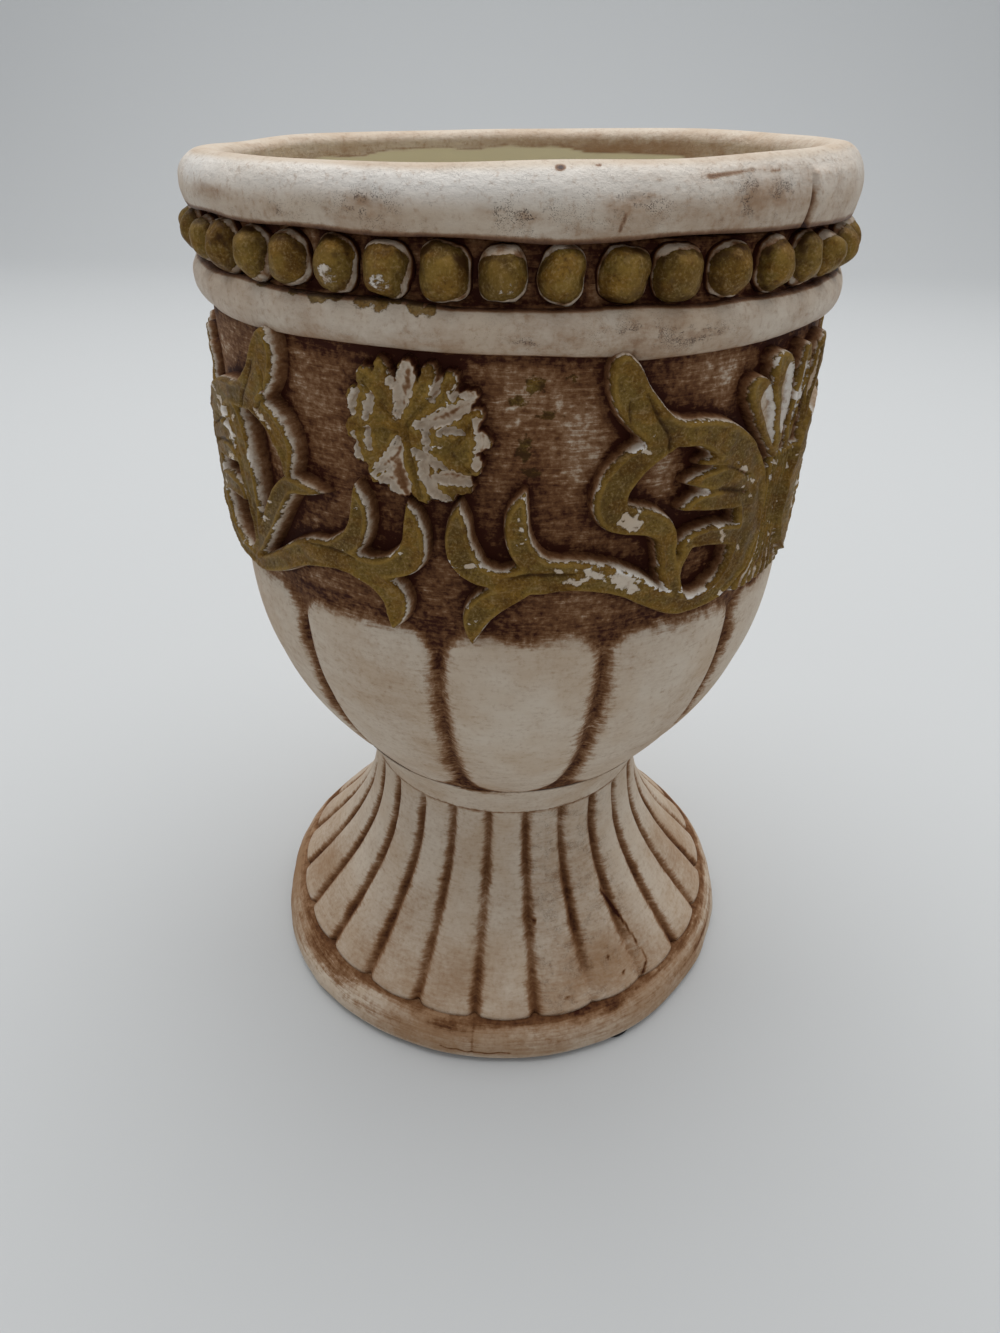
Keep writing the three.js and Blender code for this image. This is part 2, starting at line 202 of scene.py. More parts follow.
def movePlaces(mesh, places):
    mesh.vertices.foreach_set("co", (places * mm).astype(np.float32).ravel())
    mesh.update()


def paint(mesh, wash=0.0, gilt=0.0, stain=0.0, glaze=0.0, pits=0.0, paintedShine=0.0):
    layers = {"wash": wash, "gilt": gilt, "stain": stain, "glaze": glaze, "pits": pits, "paintedShine": paintedShine}
    for name, values in layers.items():
        layer = mesh.attributes.new(name, "FLOAT", "POINT")
        layer.data.foreach_set("value", np.broadcast_to(values, len(mesh.vertices)).astype(np.float32))


def addPiece(name, mesh, material, slotName, *nodes):
    piece = bpy.data.objects.new(name, mesh)
    bpy.context.scene.collection.objects.link(piece)
    mesh.materials.append(material)
    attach(piece, "root")
    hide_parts(*nodes)
    return piece


def angleGap(angle, centre):
    return (angle - centre + math.pi) % (2 * math.pi) - math.pi


def spots(angle, height, radius, marks):
    # soft patches: each at an angle in degrees and a height, with its half width and half height
    total = np.zeros_like(angle)
    for degrees, level, across, up in marks:
        x = angleGap(angle, math.radians(degrees)) * radius / across
        total = np.maximum(total, np.exp(-x * x - ((height - level) / up) ** 2))
    return total


def crackLine(angle, height, radius, points, width):
    # 1 along a line through points of degrees and height, fading over the width in mm
    nearest = np.full(len(angle), 99.0)
    for (fromDegrees, fromLevel), (toDegrees, toLevel) in zip(points, points[1:]):
        x = angleGap(angle, math.radians(fromDegrees)) * radius
        reach = math.radians(toDegrees - fromDegrees) * radius
        y, climb = height - fromLevel, toLevel - fromLevel
        t = np.clip((x * reach + y * climb) / (reach ** 2 + climb ** 2), 0, 1)
        nearest = np.minimum(nearest, np.hypot(x - t * reach, y - t * climb))
    return np.exp(-(nearest / width) ** 2)


# Shader building
def addNode(tree, kind, options=None, **inputs):
    # an input i3 is the fourth socket, and any other is a socket's name
    node = tree.nodes.new(kind)
    for key, value in (options or {}).items():
        setattr(node, key, value)
    for key, value in inputs.items():
        socket = node.inputs[int(key[1:])] if key[0] == "i" and key[1:].isdigit() else node.inputs[key]
        if isinstance(value, bpy.types.NodeSocket):
            tree.links.new(value, socket)
        else:
            socket.default_value = value
    return node


def sums(tree, operation, a, b, c=0.0):
    return addNode(tree, "ShaderNodeMath", {"operation": operation}, i0=a, i1=b, i2=c).outputs[0]


def stretch(tree, scale):
    coords = addNode(tree, "ShaderNodeTexCoord").outputs["Object"]
    leaning = (0.16, 0.1, 0)  # brush marks slope a little
    return addNode(tree, "ShaderNodeMapping", None, Vector=coords, Rotation=leaning, Scale=scale).outputs[0]


def grain(tree, scale, detail=4.0, roughness=0.6, distortion=0.0):
    # scale is in features per metre along X, Y and Z
    node = addNode(tree, "ShaderNodeTexNoise", {"noise_dimensions": "3D"}, Vector=stretch(tree, scale),
                   Scale=1.0, Detail=detail, Roughness=roughness, Distortion=distortion)
    return node.outputs["Fac"]


def threshold(tree, value, low, high):
    node = addNode(tree, "ShaderNodeMapRange", {"interpolation_type": "SMOOTHSTEP"}, Value=value)
    node.inputs["From Min"].default_value = low
    node.inputs["From Max"].default_value = high
    return node.outputs[0]


def blend(tree, factor, a, b):
    return addNode(tree, "ShaderNodeMix", {"data_type": "RGBA"}, i0=factor, i6=a, i7=b).outputs[2]


def ramp(tree, factor, stops):
    node = addNode(tree, "ShaderNodeValToRGB", None, Fac=factor)
    marks = node.color_ramp.elements
    while len(marks) < len(stops):
        marks.new(0.5)
    for mark, (place, color) in zip(marks, stops):
        mark.position = place
        mark.color = color
    return node.outputs[0]


def srgb(red, green, blue):
    def linear(part):
        part /= 255
        return part / 12.92 if part <= 0.04045 else ((part + 0.055) / 1.055) ** 2.4
    return (linear(red), linear(green), linear(blue), 1.0)


# Clay under slip, brown wash and dry-brushed gold. Each piece carries the layers as attributes, from about
# 0 to 1: wash (brown), gilt (gold), stain (tan), glaze (inside only), pits, and paintedShine, a painted
# highlight (brighter gold, or whiter slip).
clay = {
    "slip": srgb(212, 198, 180),
    "slipHighlight": srgb(240, 236, 230),
    "slipWarm": srgb(200, 180, 157),
    "tan": srgb(158, 124, 92),
    "washThin": srgb(152, 118, 88),
    "washMid": srgb(114, 77, 48),
    "washDeep": srgb(56, 22, 9),
    "gold": srgb(136, 102, 40),
    "goldDeep": srgb(108, 76, 28),
    "goldOlive": srgb(116, 97, 46),
    "goldWorn": srgb(168, 142, 100),
    "goldAged": srgb(64, 40, 15),
    "goldHighlight": srgb(160, 126, 58),
    "glaze": srgb(222, 214, 184),
}
surface = {
    "matteRough": 0.72,
    "chalkyRough": 0.5,  # the rim's slip is rubbed smoother
    "goldRough": 0.5,
    "glazeRough": 0.22,
    "glazeSheen": 0.35,
    "goldMetal": 0.25,
    "grainDepth": 0.0004,
}


def antiquedClay(name, streak=(260, 260, 1700), fringe=0.36, cloud=0.6, grit=0.55, wear=0.0, scored=0.0,
                 fleck=0.3, gloss=0.12, chalkyAndPaintedSheen=False, sandy=0.0, scuff=0.3):
    # streak: brush marks to the metre each way. fringe: raggedness of the wash's edges. cloud: unevenness of
    # the stain. grit: fine bumps. wear: gold lost in patches. scored: slip bared by the brush. fleck: speckle
    # in the wash. sandy: coarser bumps. scuff: dark specks on the gold.
    material = bpy.data.materials.new(name)
    material.use_nodes = True
    tree = material.node_tree
    shader = tree.nodes["Principled BSDF"]

    def layer(layerName):
        return addNode(tree, "ShaderNodeAttribute", {"attribute_name": layerName}).outputs["Fac"]

    def brushOn(under, where, strength, over):
        return blend(tree, sums(tree, "MULTIPLY", where, strength), under, over)

    # noise, from broad clouds to dust
    clouds = grain(tree, (70, 70, 70), 3)
    fine = grain(tree, (900, 900, 900), 5, 0.65)
    brushed = grain(tree, streak, 5, 0.68, 0.3)
    mottled = grain(tree, (260, 260, 330), 5, 0.66)
    ragged = grain(tree, (620, 620, 1100), 5, 0.7)
    dust = grain(tree, (2200, 2200, 2200), 3, 0.6)
    broad = grain(tree, (160, 160, 260), 4, 0.6)

    # slip, stained tan in patches
    slip = blend(tree, threshold(tree, clouds, 0.38, 0.72), clay["slip"], clay["slipWarm"])
    # painted highlight: the slip whiter where paintedShine is high
    slip = blend(tree, layer("paintedShine"), slip, clay["slipHighlight"])
    stained = sums(tree, "MULTIPLY_ADD", sums(tree, "SUBTRACT", broad, 0.5), cloud, layer("stain"))
    stained = sums(tree, "MULTIPLY_ADD", sums(tree, "SUBTRACT", brushed, 0.5), 0.5, stained)
    stained = sums(tree, "MULTIPLY_ADD", sums(tree, "SUBTRACT", fine, 0.5), 0.5, stained)
    slip = blend(tree, threshold(tree, stained, 0.0, 1.0), slip, clay["tan"])
    speckle = sums(tree, "MULTIPLY", threshold(tree, fine, 0.52, 0.7), grit * 0.4)
    slip = blend(tree, speckle, slip, clay["tan"])

    # wash with ragged edges
    streaks = sums(tree, "MULTIPLY", sums(tree, "SUBTRACT", brushed, 0.5), fringe * 2)
    specks = sums(tree, "MULTIPLY_ADD", layer("wash"), fleck, 0.24)
    specks = sums(tree, "MULTIPLY", sums(tree, "SUBTRACT", fine, 0.5), specks)
    cloudy = sums(tree, "MULTIPLY", sums(tree, "SUBTRACT", mottled, 0.5), fringe * 1.8)
    wash = sums(tree, "ADD", sums(tree, "ADD", layer("wash"), streaks), sums(tree, "ADD", specks, cloudy))
    if scored:
        # bristles scored the wet wash, down to the slip in places
        bristles = grain(tree, (170, 170, 1900), 5, 0.62, 0.8)
        wet = threshold(tree, layer("wash"), 0.3, 0.6)
        scoring = sums(tree, "MULTIPLY", threshold(tree, bristles, 0.5, 0.64), wet)
        wash = sums(tree, "SUBTRACT", wash, sums(tree, "MULTIPLY", scoring, scored))
    washStops = [(0.36, clay["washThin"]), (0.62, clay["washMid"]), (0.96, clay["washDeep"])]
    washColor = ramp(tree, wash, washStops)
    color = blend(tree, threshold(tree, wash, 0.1, 0.46), slip, washColor)

    # pits in the clay, and the glaze inside
    cells = addNode(tree, "ShaderNodeTexVoronoi", {"feature": "F1"},
                    Vector=stretch(tree, (1150, 1150, 1150)), Randomness=1.0).outputs["Distance"]
    dense = sums(tree, "MULTIPLY_ADD", layer("pits"), 0.42, 0.02)
    pitted = threshold(tree, sums(tree, "SUBTRACT", dense, cells), -0.03, 0.05)
    pitted = sums(tree, "MULTIPLY", pitted, threshold(tree, mottled, 0.5, 0.58))
    color = brushOn(color, pitted, 0.7, clay["washDeep"])
    color = blend(tree, layer("glaze"), color, clay["glaze"])

    # gold, broken up at its edges and aged
    edge = sums(tree, "MULTIPLY", sums(tree, "SUBTRACT", ragged, 0.5), 0.9)
    edge = sums(tree, "MULTIPLY_ADD", sums(tree, "SUBTRACT", fine, 0.5), 0.8, edge)
    worn = sums(tree, "MULTIPLY", threshold(tree, broad, 0.60, 0.70), wear)
    gilt = sums(tree, "SUBTRACT", sums(tree, "ADD", layer("gilt"), edge), worn)
    giltMask = threshold(tree, gilt, 0.43, 0.57)
    gold = blend(tree, threshold(tree, mottled, 0.34, 0.72), clay["gold"], clay["goldDeep"])
    gold = brushOn(gold, threshold(tree, broad, 0.42, 0.56), 0.6, clay["goldOlive"])
    gold = brushOn(gold, threshold(tree, clouds, 0.48, 0.62), 0.4, clay["goldAged"])
    gold = brushOn(gold, threshold(tree, brushed, 0.54, 0.74), 0.5, clay["goldWorn"])
    gold = brushOn(gold, threshold(tree, fine, 0.52, 0.66), scuff, clay["goldAged"])
    gold = brushOn(gold, threshold(tree, dust, 0.52, 0.66), 0.5, clay["goldAged"])
    gold = brushOn(gold, threshold(tree, dust, 0.46, 0.36), 0.36, clay["goldWorn"])
    # painted highlight: brighter gold where paintedShine is high, broken up by noise
    paintedGoldHighlight = sums(tree, "MULTIPLY", layer("paintedShine"), threshold(tree, broad, 0.36, 0.6))
    gold = brushOn(gold, paintedGoldHighlight, 0.6, clay["goldHighlight"])
    gold = blend(tree, threshold(tree, wash, 0.12, 0.8), gold, clay["goldAged"])
    color = blend(tree, giltMask, color, gold)
    tree.links.new(color, shader.inputs["Base Color"])

    # how each layer shines
    rough = addNode(tree, "ShaderNodeMapRange", None, Value=giltMask)
    rough.inputs["To Min"].default_value = surface["chalkyRough"] if chalkyAndPaintedSheen else surface["matteRough"]
    rough.inputs["To Max"].default_value = surface["goldRough"]
    glazed = addNode(tree, "ShaderNodeMix", {"data_type": "FLOAT"}, i0=layer("glaze"), i2=rough.outputs[0],
                     i3=surface["glazeRough"])
    tree.links.new(glazed.outputs[0], shader.inputs["Roughness"])
    sheen = sums(tree, "MULTIPLY_ADD", layer("glaze"), surface["glazeSheen"], gloss)
    tree.links.new(sheen, shader.inputs["Specular IOR Level"])
    tree.links.new(sums(tree, "MULTIPLY", giltMask, surface["goldMetal"]), shader.inputs["Metallic"])

    # fine bumps, brush lines and the thickness of the gold
    relief = sums(tree, "ADD", sums(tree, "MULTIPLY", fine, 0.35), sums(tree, "MULTIPLY", brushed, 0.25))
    relief = sums(tree, "ADD", relief, sums(tree, "MULTIPLY", giltMask, 0.3))
    relief = sums(tree, "MULTIPLY_ADD", ragged, sandy, relief)
    relief = sums(tree, "SUBTRACT", relief, pitted)
    matte = sums(tree, "SUBTRACT", 1.0, layer("glaze"))
    bump = addNode(tree, "ShaderNodeBump", None, Strength=sums(tree, "MULTIPLY", matte, grit),
                   Distance=surface["grainDepth"], Height=relief)
    tree.links.new(bump.outputs[0], shader.inputs["Normal"])
    return material


felt = {"dark": srgb(18, 17, 17), "pale": srgb(46, 44, 43), "rough": 0.95, "nap": 0.0003}


def feltMaterial(opts):
    material = bpy.data.materials.new("blackFelt")
    material.use_nodes = True
    tree = material.node_tree
    shader = tree.nodes["Principled BSDF"]
    fibre = grain(tree, (2500, 2500, 600), 3, 0.7)
    tree.links.new(blend(tree, fibre, opts["dark"], opts["pale"]), shader.inputs["Base Color"])
    shader.inputs["Roughness"].default_value = opts["rough"]
    bump = addNode(tree, "ShaderNodeBump", None, Strength=0.8, Distance=opts["nap"], Height=fibre)
    tree.links.new(bump.outputs[0], shader.inputs["Normal"])
    return material


agedClay = antiquedClay("agedClay", scored=0.14, fleck=1.3)
giltClay = antiquedClay("giltClay", streak=(300, 300, 900), fringe=0.22, grit=1.0, wear=0.8, fleck=0.7)
blackFelt = feltMaterial(felt)
print("materials made")


# The relief is drawn on the unrolled frieze, in mm: along the wall from a medallion's mirror line, up from
# the frieze's foot, and half the width. Each scroll has a right and a left hand, which differ a little.
friezeFoot = 128.4
wallRadius = 61.0
drawnRadius = 61.3
repeats = 3
halfRepeat = math.pi * drawnRadius / repeats
medallionTurns = [i * 360 / repeats for i in range(repeats)]
garlandTurns = [turn + 180 / repeats for turn in medallionTurns]
farOut = -5.0  # a drawn field's value, in mm, where no stroke is near

coil = [(48, 2.5, 2.2), (53, 3.9, 2.7), (57, 7.2, 3.6), (58.7, 11.6, 4.1), (58.9, 16.6, 4.1),
        (58, 21.6, 4.2), (56, 26.1, 4.0), (53, 30, 3.7), (49, 32.8, 3.4), (44.5, 34.5, 2.7),
        (40.5, 34.9, 2.7), (37, 35.8, 3.2), (33.8, 38.4, 3.5), (31.2, 41.6, 3.5), (30, 44.6, 3.0),
        (29.4, 46.6, 2.0)]
shell = [
    [(57, 26.1, 1.8), (51.5, 28.8, 1.8), (45.4, 29.3, 0.9)],
    [(58, 23.6, 1.8), (52, 25, 2.4), (46.5, 26.1, 2.0), (42.8, 26.2, 0.7)],
    [(58, 20.8, 2.0), (52.5, 21.4, 2.3), (46.5, 22.3, 2.2), (42.6, 21.6, 0.8)],
    [(42.6, 13.7, 0.4), (44.4, 15, 1.8), (48, 15.4, 2.3), (52, 14.8, 2.5), (56, 13.6, 2.5)],
    [(47, 26.4, 1.6), (51, 25.4, 3.2), (57, 24, 3.8)],
]
rightScroll = [
    [(11, 10.6, 2.0), (17, 11, 3.2), (23, 11.6, 3.3), (29, 10.6, 3.2), (34, 8.6, 3.0), (38.5, 5.6, 2.7),
     (43, 3.2, 2.6)] + coil,
    [(5.1, 24.4, 0.4), (4.9, 21.1, 2.0), (4.8, 17.6, 2.6), (5.8, 14.4, 2.9), (8, 11.9, 2.5), (12, 10.6, 2.0)],
    [(7.2, -3, 0.2), (7.2, 0.2, 1.7), (8, 3.6, 2.8), (10.6, 6.6, 2.9), (15, 9, 2.2)],
    [(15.4, 26.6, 0.6), (14.4, 23.1, 2.0), (14.4, 19.4, 2.4), (15.6, 15.8, 2.6), (18.4, 13.2, 2.4),
     (23, 12, 2.0)],
    [(38, 33.8, 2.2), (33.5, 31.6, 2.9), (30.4, 28.4, 3.2), (29.2, 24.8, 3.3), (30.2, 22, 3.2),
     (33, 20.9, 3.0), (36.6, 20, 2.8), (39.4, 17.8, 2.5), (40.4, 14, 2.1), (41.2, 10.6, 2.3),
     (42.4, 7.4, 2.2), (44, 4.1, 1.6)],
    [(44.4, 14.2, 1.3), (43.4, 12, 1.3), (42.6, 9, 1.2)],
] + shell
leftScroll = [
    [(10, 10.2, 2.0), (14, 10.4, 2.7), (18, 10.7, 3.0), (23, 10, 3.1), (27.5, 8.2, 2.9), (32, 5.4, 2.6),
     (36.5, 3.2, 2.3), (41, 2, 2.0)] + coil,
    [(3.6, 23.4, 0.5), (2.7, 20.1, 2.0), (2.6, 16.2, 2.6), (4, 12.9, 2.9), (7.5, 10.9, 2.4), (12, 10.1, 2.0)],
    [(7.2, -1.6, 0.4), (6.4, 1.9, 2.2), (6.5, 5.2, 2.8), (9, 7.8, 2.6), (13, 9.2, 2.0)],
    [(12.8, 25.2, 0.6), (12.2, 21.6, 2.0), (12.6, 17.8, 2.4), (14.3, 14.6, 2.6), (18, 12.2, 2.2)],
    [(40, 34.2, 1.8), (36, 34.8, 2.2), (31.6, 33.6, 2.6), (28.4, 30.9, 2.9), (27, 27.6, 2.2),
     (27.4, 24.2, 1.4)],
    [(19.2, 22, 0.3), (23, 22, 1.5), (27.2, 21.8, 2.2), (30, 19.2, 2.5), (32.6, 15.4, 2.4), (35.3, 11.4, 2.3),
     (38.5, 7.1, 2.1), (42, 3.4, 1.8)],
    [(41, 3.4, 1.4), (39.6, 7, 1.5), (39, 12, 2.1), (39.8, 17.6, 3.0), (40.6, 22.6, 3.4), (41.4, 27.4, 3.4),
     (42.6, 31, 3.0)],
] + shell

# Where the gold of each hand is rubbed through to the slip, and the creases cut in both
rubbedRight = [
    [(31.6, 21.9, 0.9), (32.8, 20.6, 1.9), (34, 20.2, 0.8)],
    [(29.4, 11.6, 0.5), (31.5, 10.6, 1.4), (33.8, 9, 1.8), (35, 8, 0.7)],
    [(36.8, 9.4, 0.7), (39.5, 7.6, 0.6), (41.6, 6.3, 0.3)],
    [(31.8, 34, 0.6), (34.4, 32.9, 0.6)],
    [(50.6, 16.6, 0.6), (52, 14.6, 1.0)],
    [(46.4, 4.6, 0.6), (52, 4.6, 0.5)],
    [(52.6, 28.2, 0.3), (55, 25.8, 0.6), (58, 23.1, 0.4)],
    [(53.8, 23.8, 0.3), (57.4, 20.9, 0.5)],
    [(21, 12.6, 0.5), (24, 10.6, 1.0), (26.6, 11.6, 0.4)],
    [(24.6, 13.2, 0.4), (27.5, 12, 1.0), (30, 11.2, 0.6)],
    [(14.6, 22, 0.3), (15.2, 18, 0.3)],
    [(55, 8.4, 0.3), (57.2, 11.2, 0.3)],
]
rubbedLeft = [
    [(48.4, 31, 0.8), (46.6, 27.8, 1.5), (43.6, 25, 1.0)],
    [(42.4, 31, 0.6), (43.6, 28.6, 0.8)],
    [(38.4, 25.4, 0.5), (36.4, 22, 0.7)],
    [(56, 17, 0.6), (56.6, 12.4, 0.8)],
    [(30.6, 32, 0.4), (33.6, 33.6, 0.6)],
]
creases = [
    [(33.4, 42, 0.15), (35.6, 38, 0.3), (38, 34.6, 0.3), (37.8, 31.6, 0.15)],
    [(44.6, 27.6, 0.15), (50, 28, 0.3), (56, 25.2, 0.2)],
    [(44, 23.9, 0.2), (50, 23.8, 0.35), (56.5, 21.8, 0.2)],
    [(13.5, 11.6, 0.15), (18, 12.2, 0.25), (24, 12, 0.15)],
    [(30.6, 41, 0.15), (31, 37.4, 0.25), (33.6, 33.8, 0.15)],
]

# The palmette, across from its own middle: five spoon-shaped petals over a ribbed bundle of stalks
leftPetals = [
    [(-14.6, 40.2, 2.2), (-13, 38.2, 3.1), (-10, 33.4, 2.6), (-7, 29, 1.6), (-5.6, 26.5, 1.0)],
    [(-10.4, 44.2, 1.4), (-8.4, 42.6, 2.8), (-7.2, 39.4, 3.3), (-6.3, 35.8, 2.8), (-5.4, 31.1, 1.8),
     (-5, 27.6, 1.2)],
]
leftSpoons = [
    [(-11.9, 38.4, 1.7), (-9.3, 33.3, 1.1), (-6.4, 28.8, 0.3)],
    [(-6.9, 42, 1.0), (-6.2, 38.6, 1.7), (-5.4, 34.6, 1.1), (-4.7, 30.6, 0.3)],
]
middlePetal = [[(-0.4, 44.4, 1.3), (-0.6, 40, 2.3), (-0.8, 34, 2.0), (-1, 27, 1.2)]]
middleSpoon = [[(-0.3, 41.4, 0.9), (-0.5, 36, 0.9), (-0.8, 30.6, 0.3)]]
stalks = {"half": 5.4, "spread": 5.4, "foot": 9.5, "top": 27, "ribs": 9}

# Each sprig was laid by hand: how far its palmette leans to the right, how widely its petals fan, how high
# they stand and how long they are, and how much thinner the sprig gets towards its right end
sprigs = [
    {"lean": 6.0, "fan": 1.0, "petalRise": 2.6, "long": 1.0, "thin": 0.65},
    {"lean": 0.0, "fan": 0.8, "petalRise": 2.3, "long": 1.0, "thin": 0.0},
    {"lean": -6.0, "fan": 0.6, "petalRise": 1.7, "long": 0.8, "thin": 0.0},
]

# The medallion: one leafy body, out to the tips of its leaves, with hollows sunk between the gilded leaves
leafBody = [
    [(-3.8, 34.6, 9.0), (-2.2, 34.8, 9.2)],
    [(-7.8, 40, 3.4), (-9.4, 42.6, 2.4), (-10.2, 43.8, 1.5)],
    [(-6.4, 41.6, 2.4), (-7, 44.4, 1.7), (-7.2, 45.4, 1.3)],
    [(-3.4, 42, 2.4), (-3, 44.6, 1.8), (-2.9, 45.4, 1.4)],
    [(0, 41.8, 2.2), (0.5, 44.2, 1.7), (0.6, 45.2, 1.3)],
    [(2, 40.8, 2.6), (3.4, 43, 2.0), (3.9, 44.2, 1.4)],
    [(3.6, 39.6, 2.8), (5.8, 40.8, 2.0), (7, 41.4, 1.4)],
    [(4.6, 36.4, 3.4), (7, 38, 2.0), (7.8, 38.8, 1.4)],
    [(5.2, 34.4, 3.4), (8, 34.6, 2.2), (9, 34.4, 1.6)],
    [(4.2, 31.6, 3.6), (6.6, 30.8, 2.4), (7.6, 30.2, 1.5)],
    [(3, 28.6, 3.4), (5.4, 27.6, 2.2), (6.2, 27, 1.5)],
    [(1.4, 27, 2.8), (3, 25.6, 1.9), (3.6, 25.2, 1.3)],
    [(-1.2, 26.4, 2.6), (-0.8, 25, 1.8)],
    [(-4.6, 26.8, 2.8), (-4.4, 25.6, 1.8)],
    [(-7.6, 28.4, 3.0), (-8.8, 27.4, 1.8)],
    [(-10.2, 31.8, 2.8), (-11.4, 30.6, 1.7)],
    [(-10.6, 35, 3.2), (-12.4, 34.6, 1.8)],
    [(-10, 38.4, 3.4), (-12, 40.2, 1.8)],
]
hollows = [
    [(-4.2, 37.8, 0.1), (-3.7, 39.6, 0.6), (-3.2, 42.2, 1.1), (-2.6, 45.2, 0.9)],
    [(-3.4, 42.2, 0.8), (-5.2, 43, 0.4)],
    [(-4.1, 34.4, 0.1), (-4.8, 31.8, 1.0), (-7.2, 29.5, 0.6), (-8.9, 28, 0.2)],
    [(-5, 31, 1.0), (-4.7, 28, 1.7), (-3.9, 25, 1.1)],
    [(-4.8, 27.6, 1.2), (-7.6, 27, 0.4)],
    [(-12, 37.8, 0.2), (-11.2, 41, 0.2)],
    [(-9.6, 37.2, 0.1), (-8.9, 39.2, 0.5), (-8.4, 40.8, 0.1)],
    [(-9.4, 35.4, 0.1), (-9.2, 32.4, 0.3)],
    [(-12, 34.2, 0.1), (-11.6, 31.8, 0.3), (-11.2, 30, 0.1)],
    [(-1, 37, 0.2), (1.4, 37.8, 0.8), (3.6, 38.8, 0.9), (7.4, 40.8, 0.7)],
    [(4.4, 42, 0.3), (6, 42.6, 0.8), (7.6, 41.4, 0.5)],
    [(0.2, 37, 0.3), (0.4, 33.4, 0.1)],
    [(-1.6, 32.8, 0.2), (0.6, 31.5, 0.6), (3, 30.2, 0.2)],
    [(-0.4, 31, 0.3), (0.2, 28.4, 0.6), (1.4, 26.2, 0.6), (3.4, 25, 0.3)],
    [(1.2, 28.4, 0.5), (4, 28.9, 0.8), (6.8, 28.2, 0.5)],
    [(8, 38, 0.4), (8.8, 35.6, 0.7), (8.6, 32.6, 0.7), (7.8, 30.8, 0.3)],
    [(2.4, 36.2, 0.1), (3.6, 36.6, 0.4), (5.6, 36.2, 0.1)],
    [(1.2, 41, 0.1), (2.2, 43.6, 0.3), (2.4, 45, 0.2)],
    [(4.6, 41.6, 0.1), (6.2, 43, 0.3)],
]
veins = [
    [(-4, 36.4, 0.3), (-7.4, 39.6, 0.3), (-10, 42.6, 0.2)],
    [(-4.4, 35.4, 0.3), (-8.2, 35.4, 0.25), (-12, 34.8, 0.2)],
    [(-3.2, 36, 0.3), (-0.6, 39.4, 0.3), (2.4, 42.6, 0.2)],
    [(-3, 36, 0.3), (-2.2, 30.6, 0.3), (-1.2, 24.8, 0.2)],
    [(3.6, 33.6, 0.3), (5.2, 31.4, 0.25), (6.8, 29.8, 0.2)],
    [(3.8, 33.8, 0.3), (6.2, 36, 0.25), (7.2, 38.4, 0.2)],
]

reliefShape = {
    "rise": 3.3,  # crest of a leaf over the wall
    "run": 1.0,  # how far its side walls lean
    "edging": 0.38,  # raised line along the edges
    "stalkRise": 2.1,
    "leafRise": 2.7,  # the medallion's leaves
    "hollow": 1.25,  # how deep the medallion's hollows are sunk
    "sink": 0.9,  # how far the relief's edge goes into the wall
    "backing": 1.3,  # and how far its back
    "spacing": 0.3,  # the drawn field's grid
    "leafSpacing": 0.17,
}


def makeGrid(low, high, spacing):
    across = np.arange(low[0], high[0] + spacing, spacing)
    up = np.arange(low[1], high[1] + spacing, spacing)
    return across, up


def strokeField(across, up, stroke):
    # how far each grid point lies inside the stroke, in mm, negative outside
    line = smoothCurve(stroke)
    line[:, 2] = np.maximum(line[:, 2], 0.15)
    field = np.full((len(up), len(across)), farOut)
    for a, b in zip(line[:-1], line[1:]):
        room = max(a[2], b[2]) - farOut
        i0, i1 = np.searchsorted(across, (min(a[0], b[0]) - room, max(a[0], b[0]) + room))
        j0, j1 = np.searchsorted(up, (min(a[1], b[1]) - room, max(a[1], b[1]) + room))
        if i0 == i1 or j0 == j1:
            continue
        x, y = across[i0:i1][None, :] - a[0], up[j0:j1][:, None] - a[1]
        way = b[:2] - a[:2]
        t = np.clip((x * way[0] + y * way[1]) / (way @ way + 1e-9), 0, 1)
        inside = a[2] + (b[2] - a[2]) * t - np.hypot(x - t * way[0], y - t * way[1])
        field[j0:j1, i0:i1] = np.maximum(field[j0:j1, i0:i1], inside)
    return field


def joinStrokes(across, up, strokes, join=0.7):
    total = np.full((len(up), len(across)), farOut)
    for stroke in strokes:
        total = softMax(total, strokeField(across, up, stroke), join)
    return total


def roundedWall(inside, run):
    # 0 at the foot, 1 on top, with a rounded shoulder; goes on down below the foot
    part = np.clip(inside / run, 0, 1)
    return np.where(inside < 0, inside * 2 / run, 1 - (1 - part) ** 2.2)


def leafHeight(inside, opts, rise):
    edging = opts["edging"] * np.exp(-((inside - opts["run"] * 1.05) / 0.4) ** 2)
    crown = 0.3 * ease(opts["run"] * 1.5, 4, inside)
    return rise * roundedWall(inside, opts["run"]) + edging + crown


def shiftStrokes(strokes, zero, scale):
    return [[(zero + scale * x, y, w) for x, y, w in stroke] for stroke in strokes]


def brushedGilt(inside, spacing, start, pale):
    # the gold was brushed on from the left, so walls that face right or up stayed pale
    upward, rightward = np.gradient(inside, spacing)
    away = np.clip(-rightward, 0, 1)
    edge = start + pale * np.clip(away + 0.6 * np.clip(-upward, 0, 1) + 0.3 * np.clip(upward, 0, 1), 0, 1)
    pooled = ease(0.74, -0.14, inside) * (1 - 0.12 * away)
    # the third value is a painted highlight, a band just inside the gold's edge on the crest
    return 0.5 + (inside - edge) / 0.8, pooled, np.exp(-((inside - edge - 0.45) / 0.35) ** 2)


def blurField(values, sigma, spacing):
    reach = int(3 * sigma / spacing)
    kernel = np.exp(-0.5 * (np.arange(-reach, reach + 1) * spacing / sigma) ** 2)
    kernel /= kernel.sum()

    def blurLine(line):
        return np.convolve(np.pad(line, reach, "edge"), kernel, "valid")
    for axis in (0, 1):
        values = np.apply_along_axis(blurLine, axis, values)
    return values


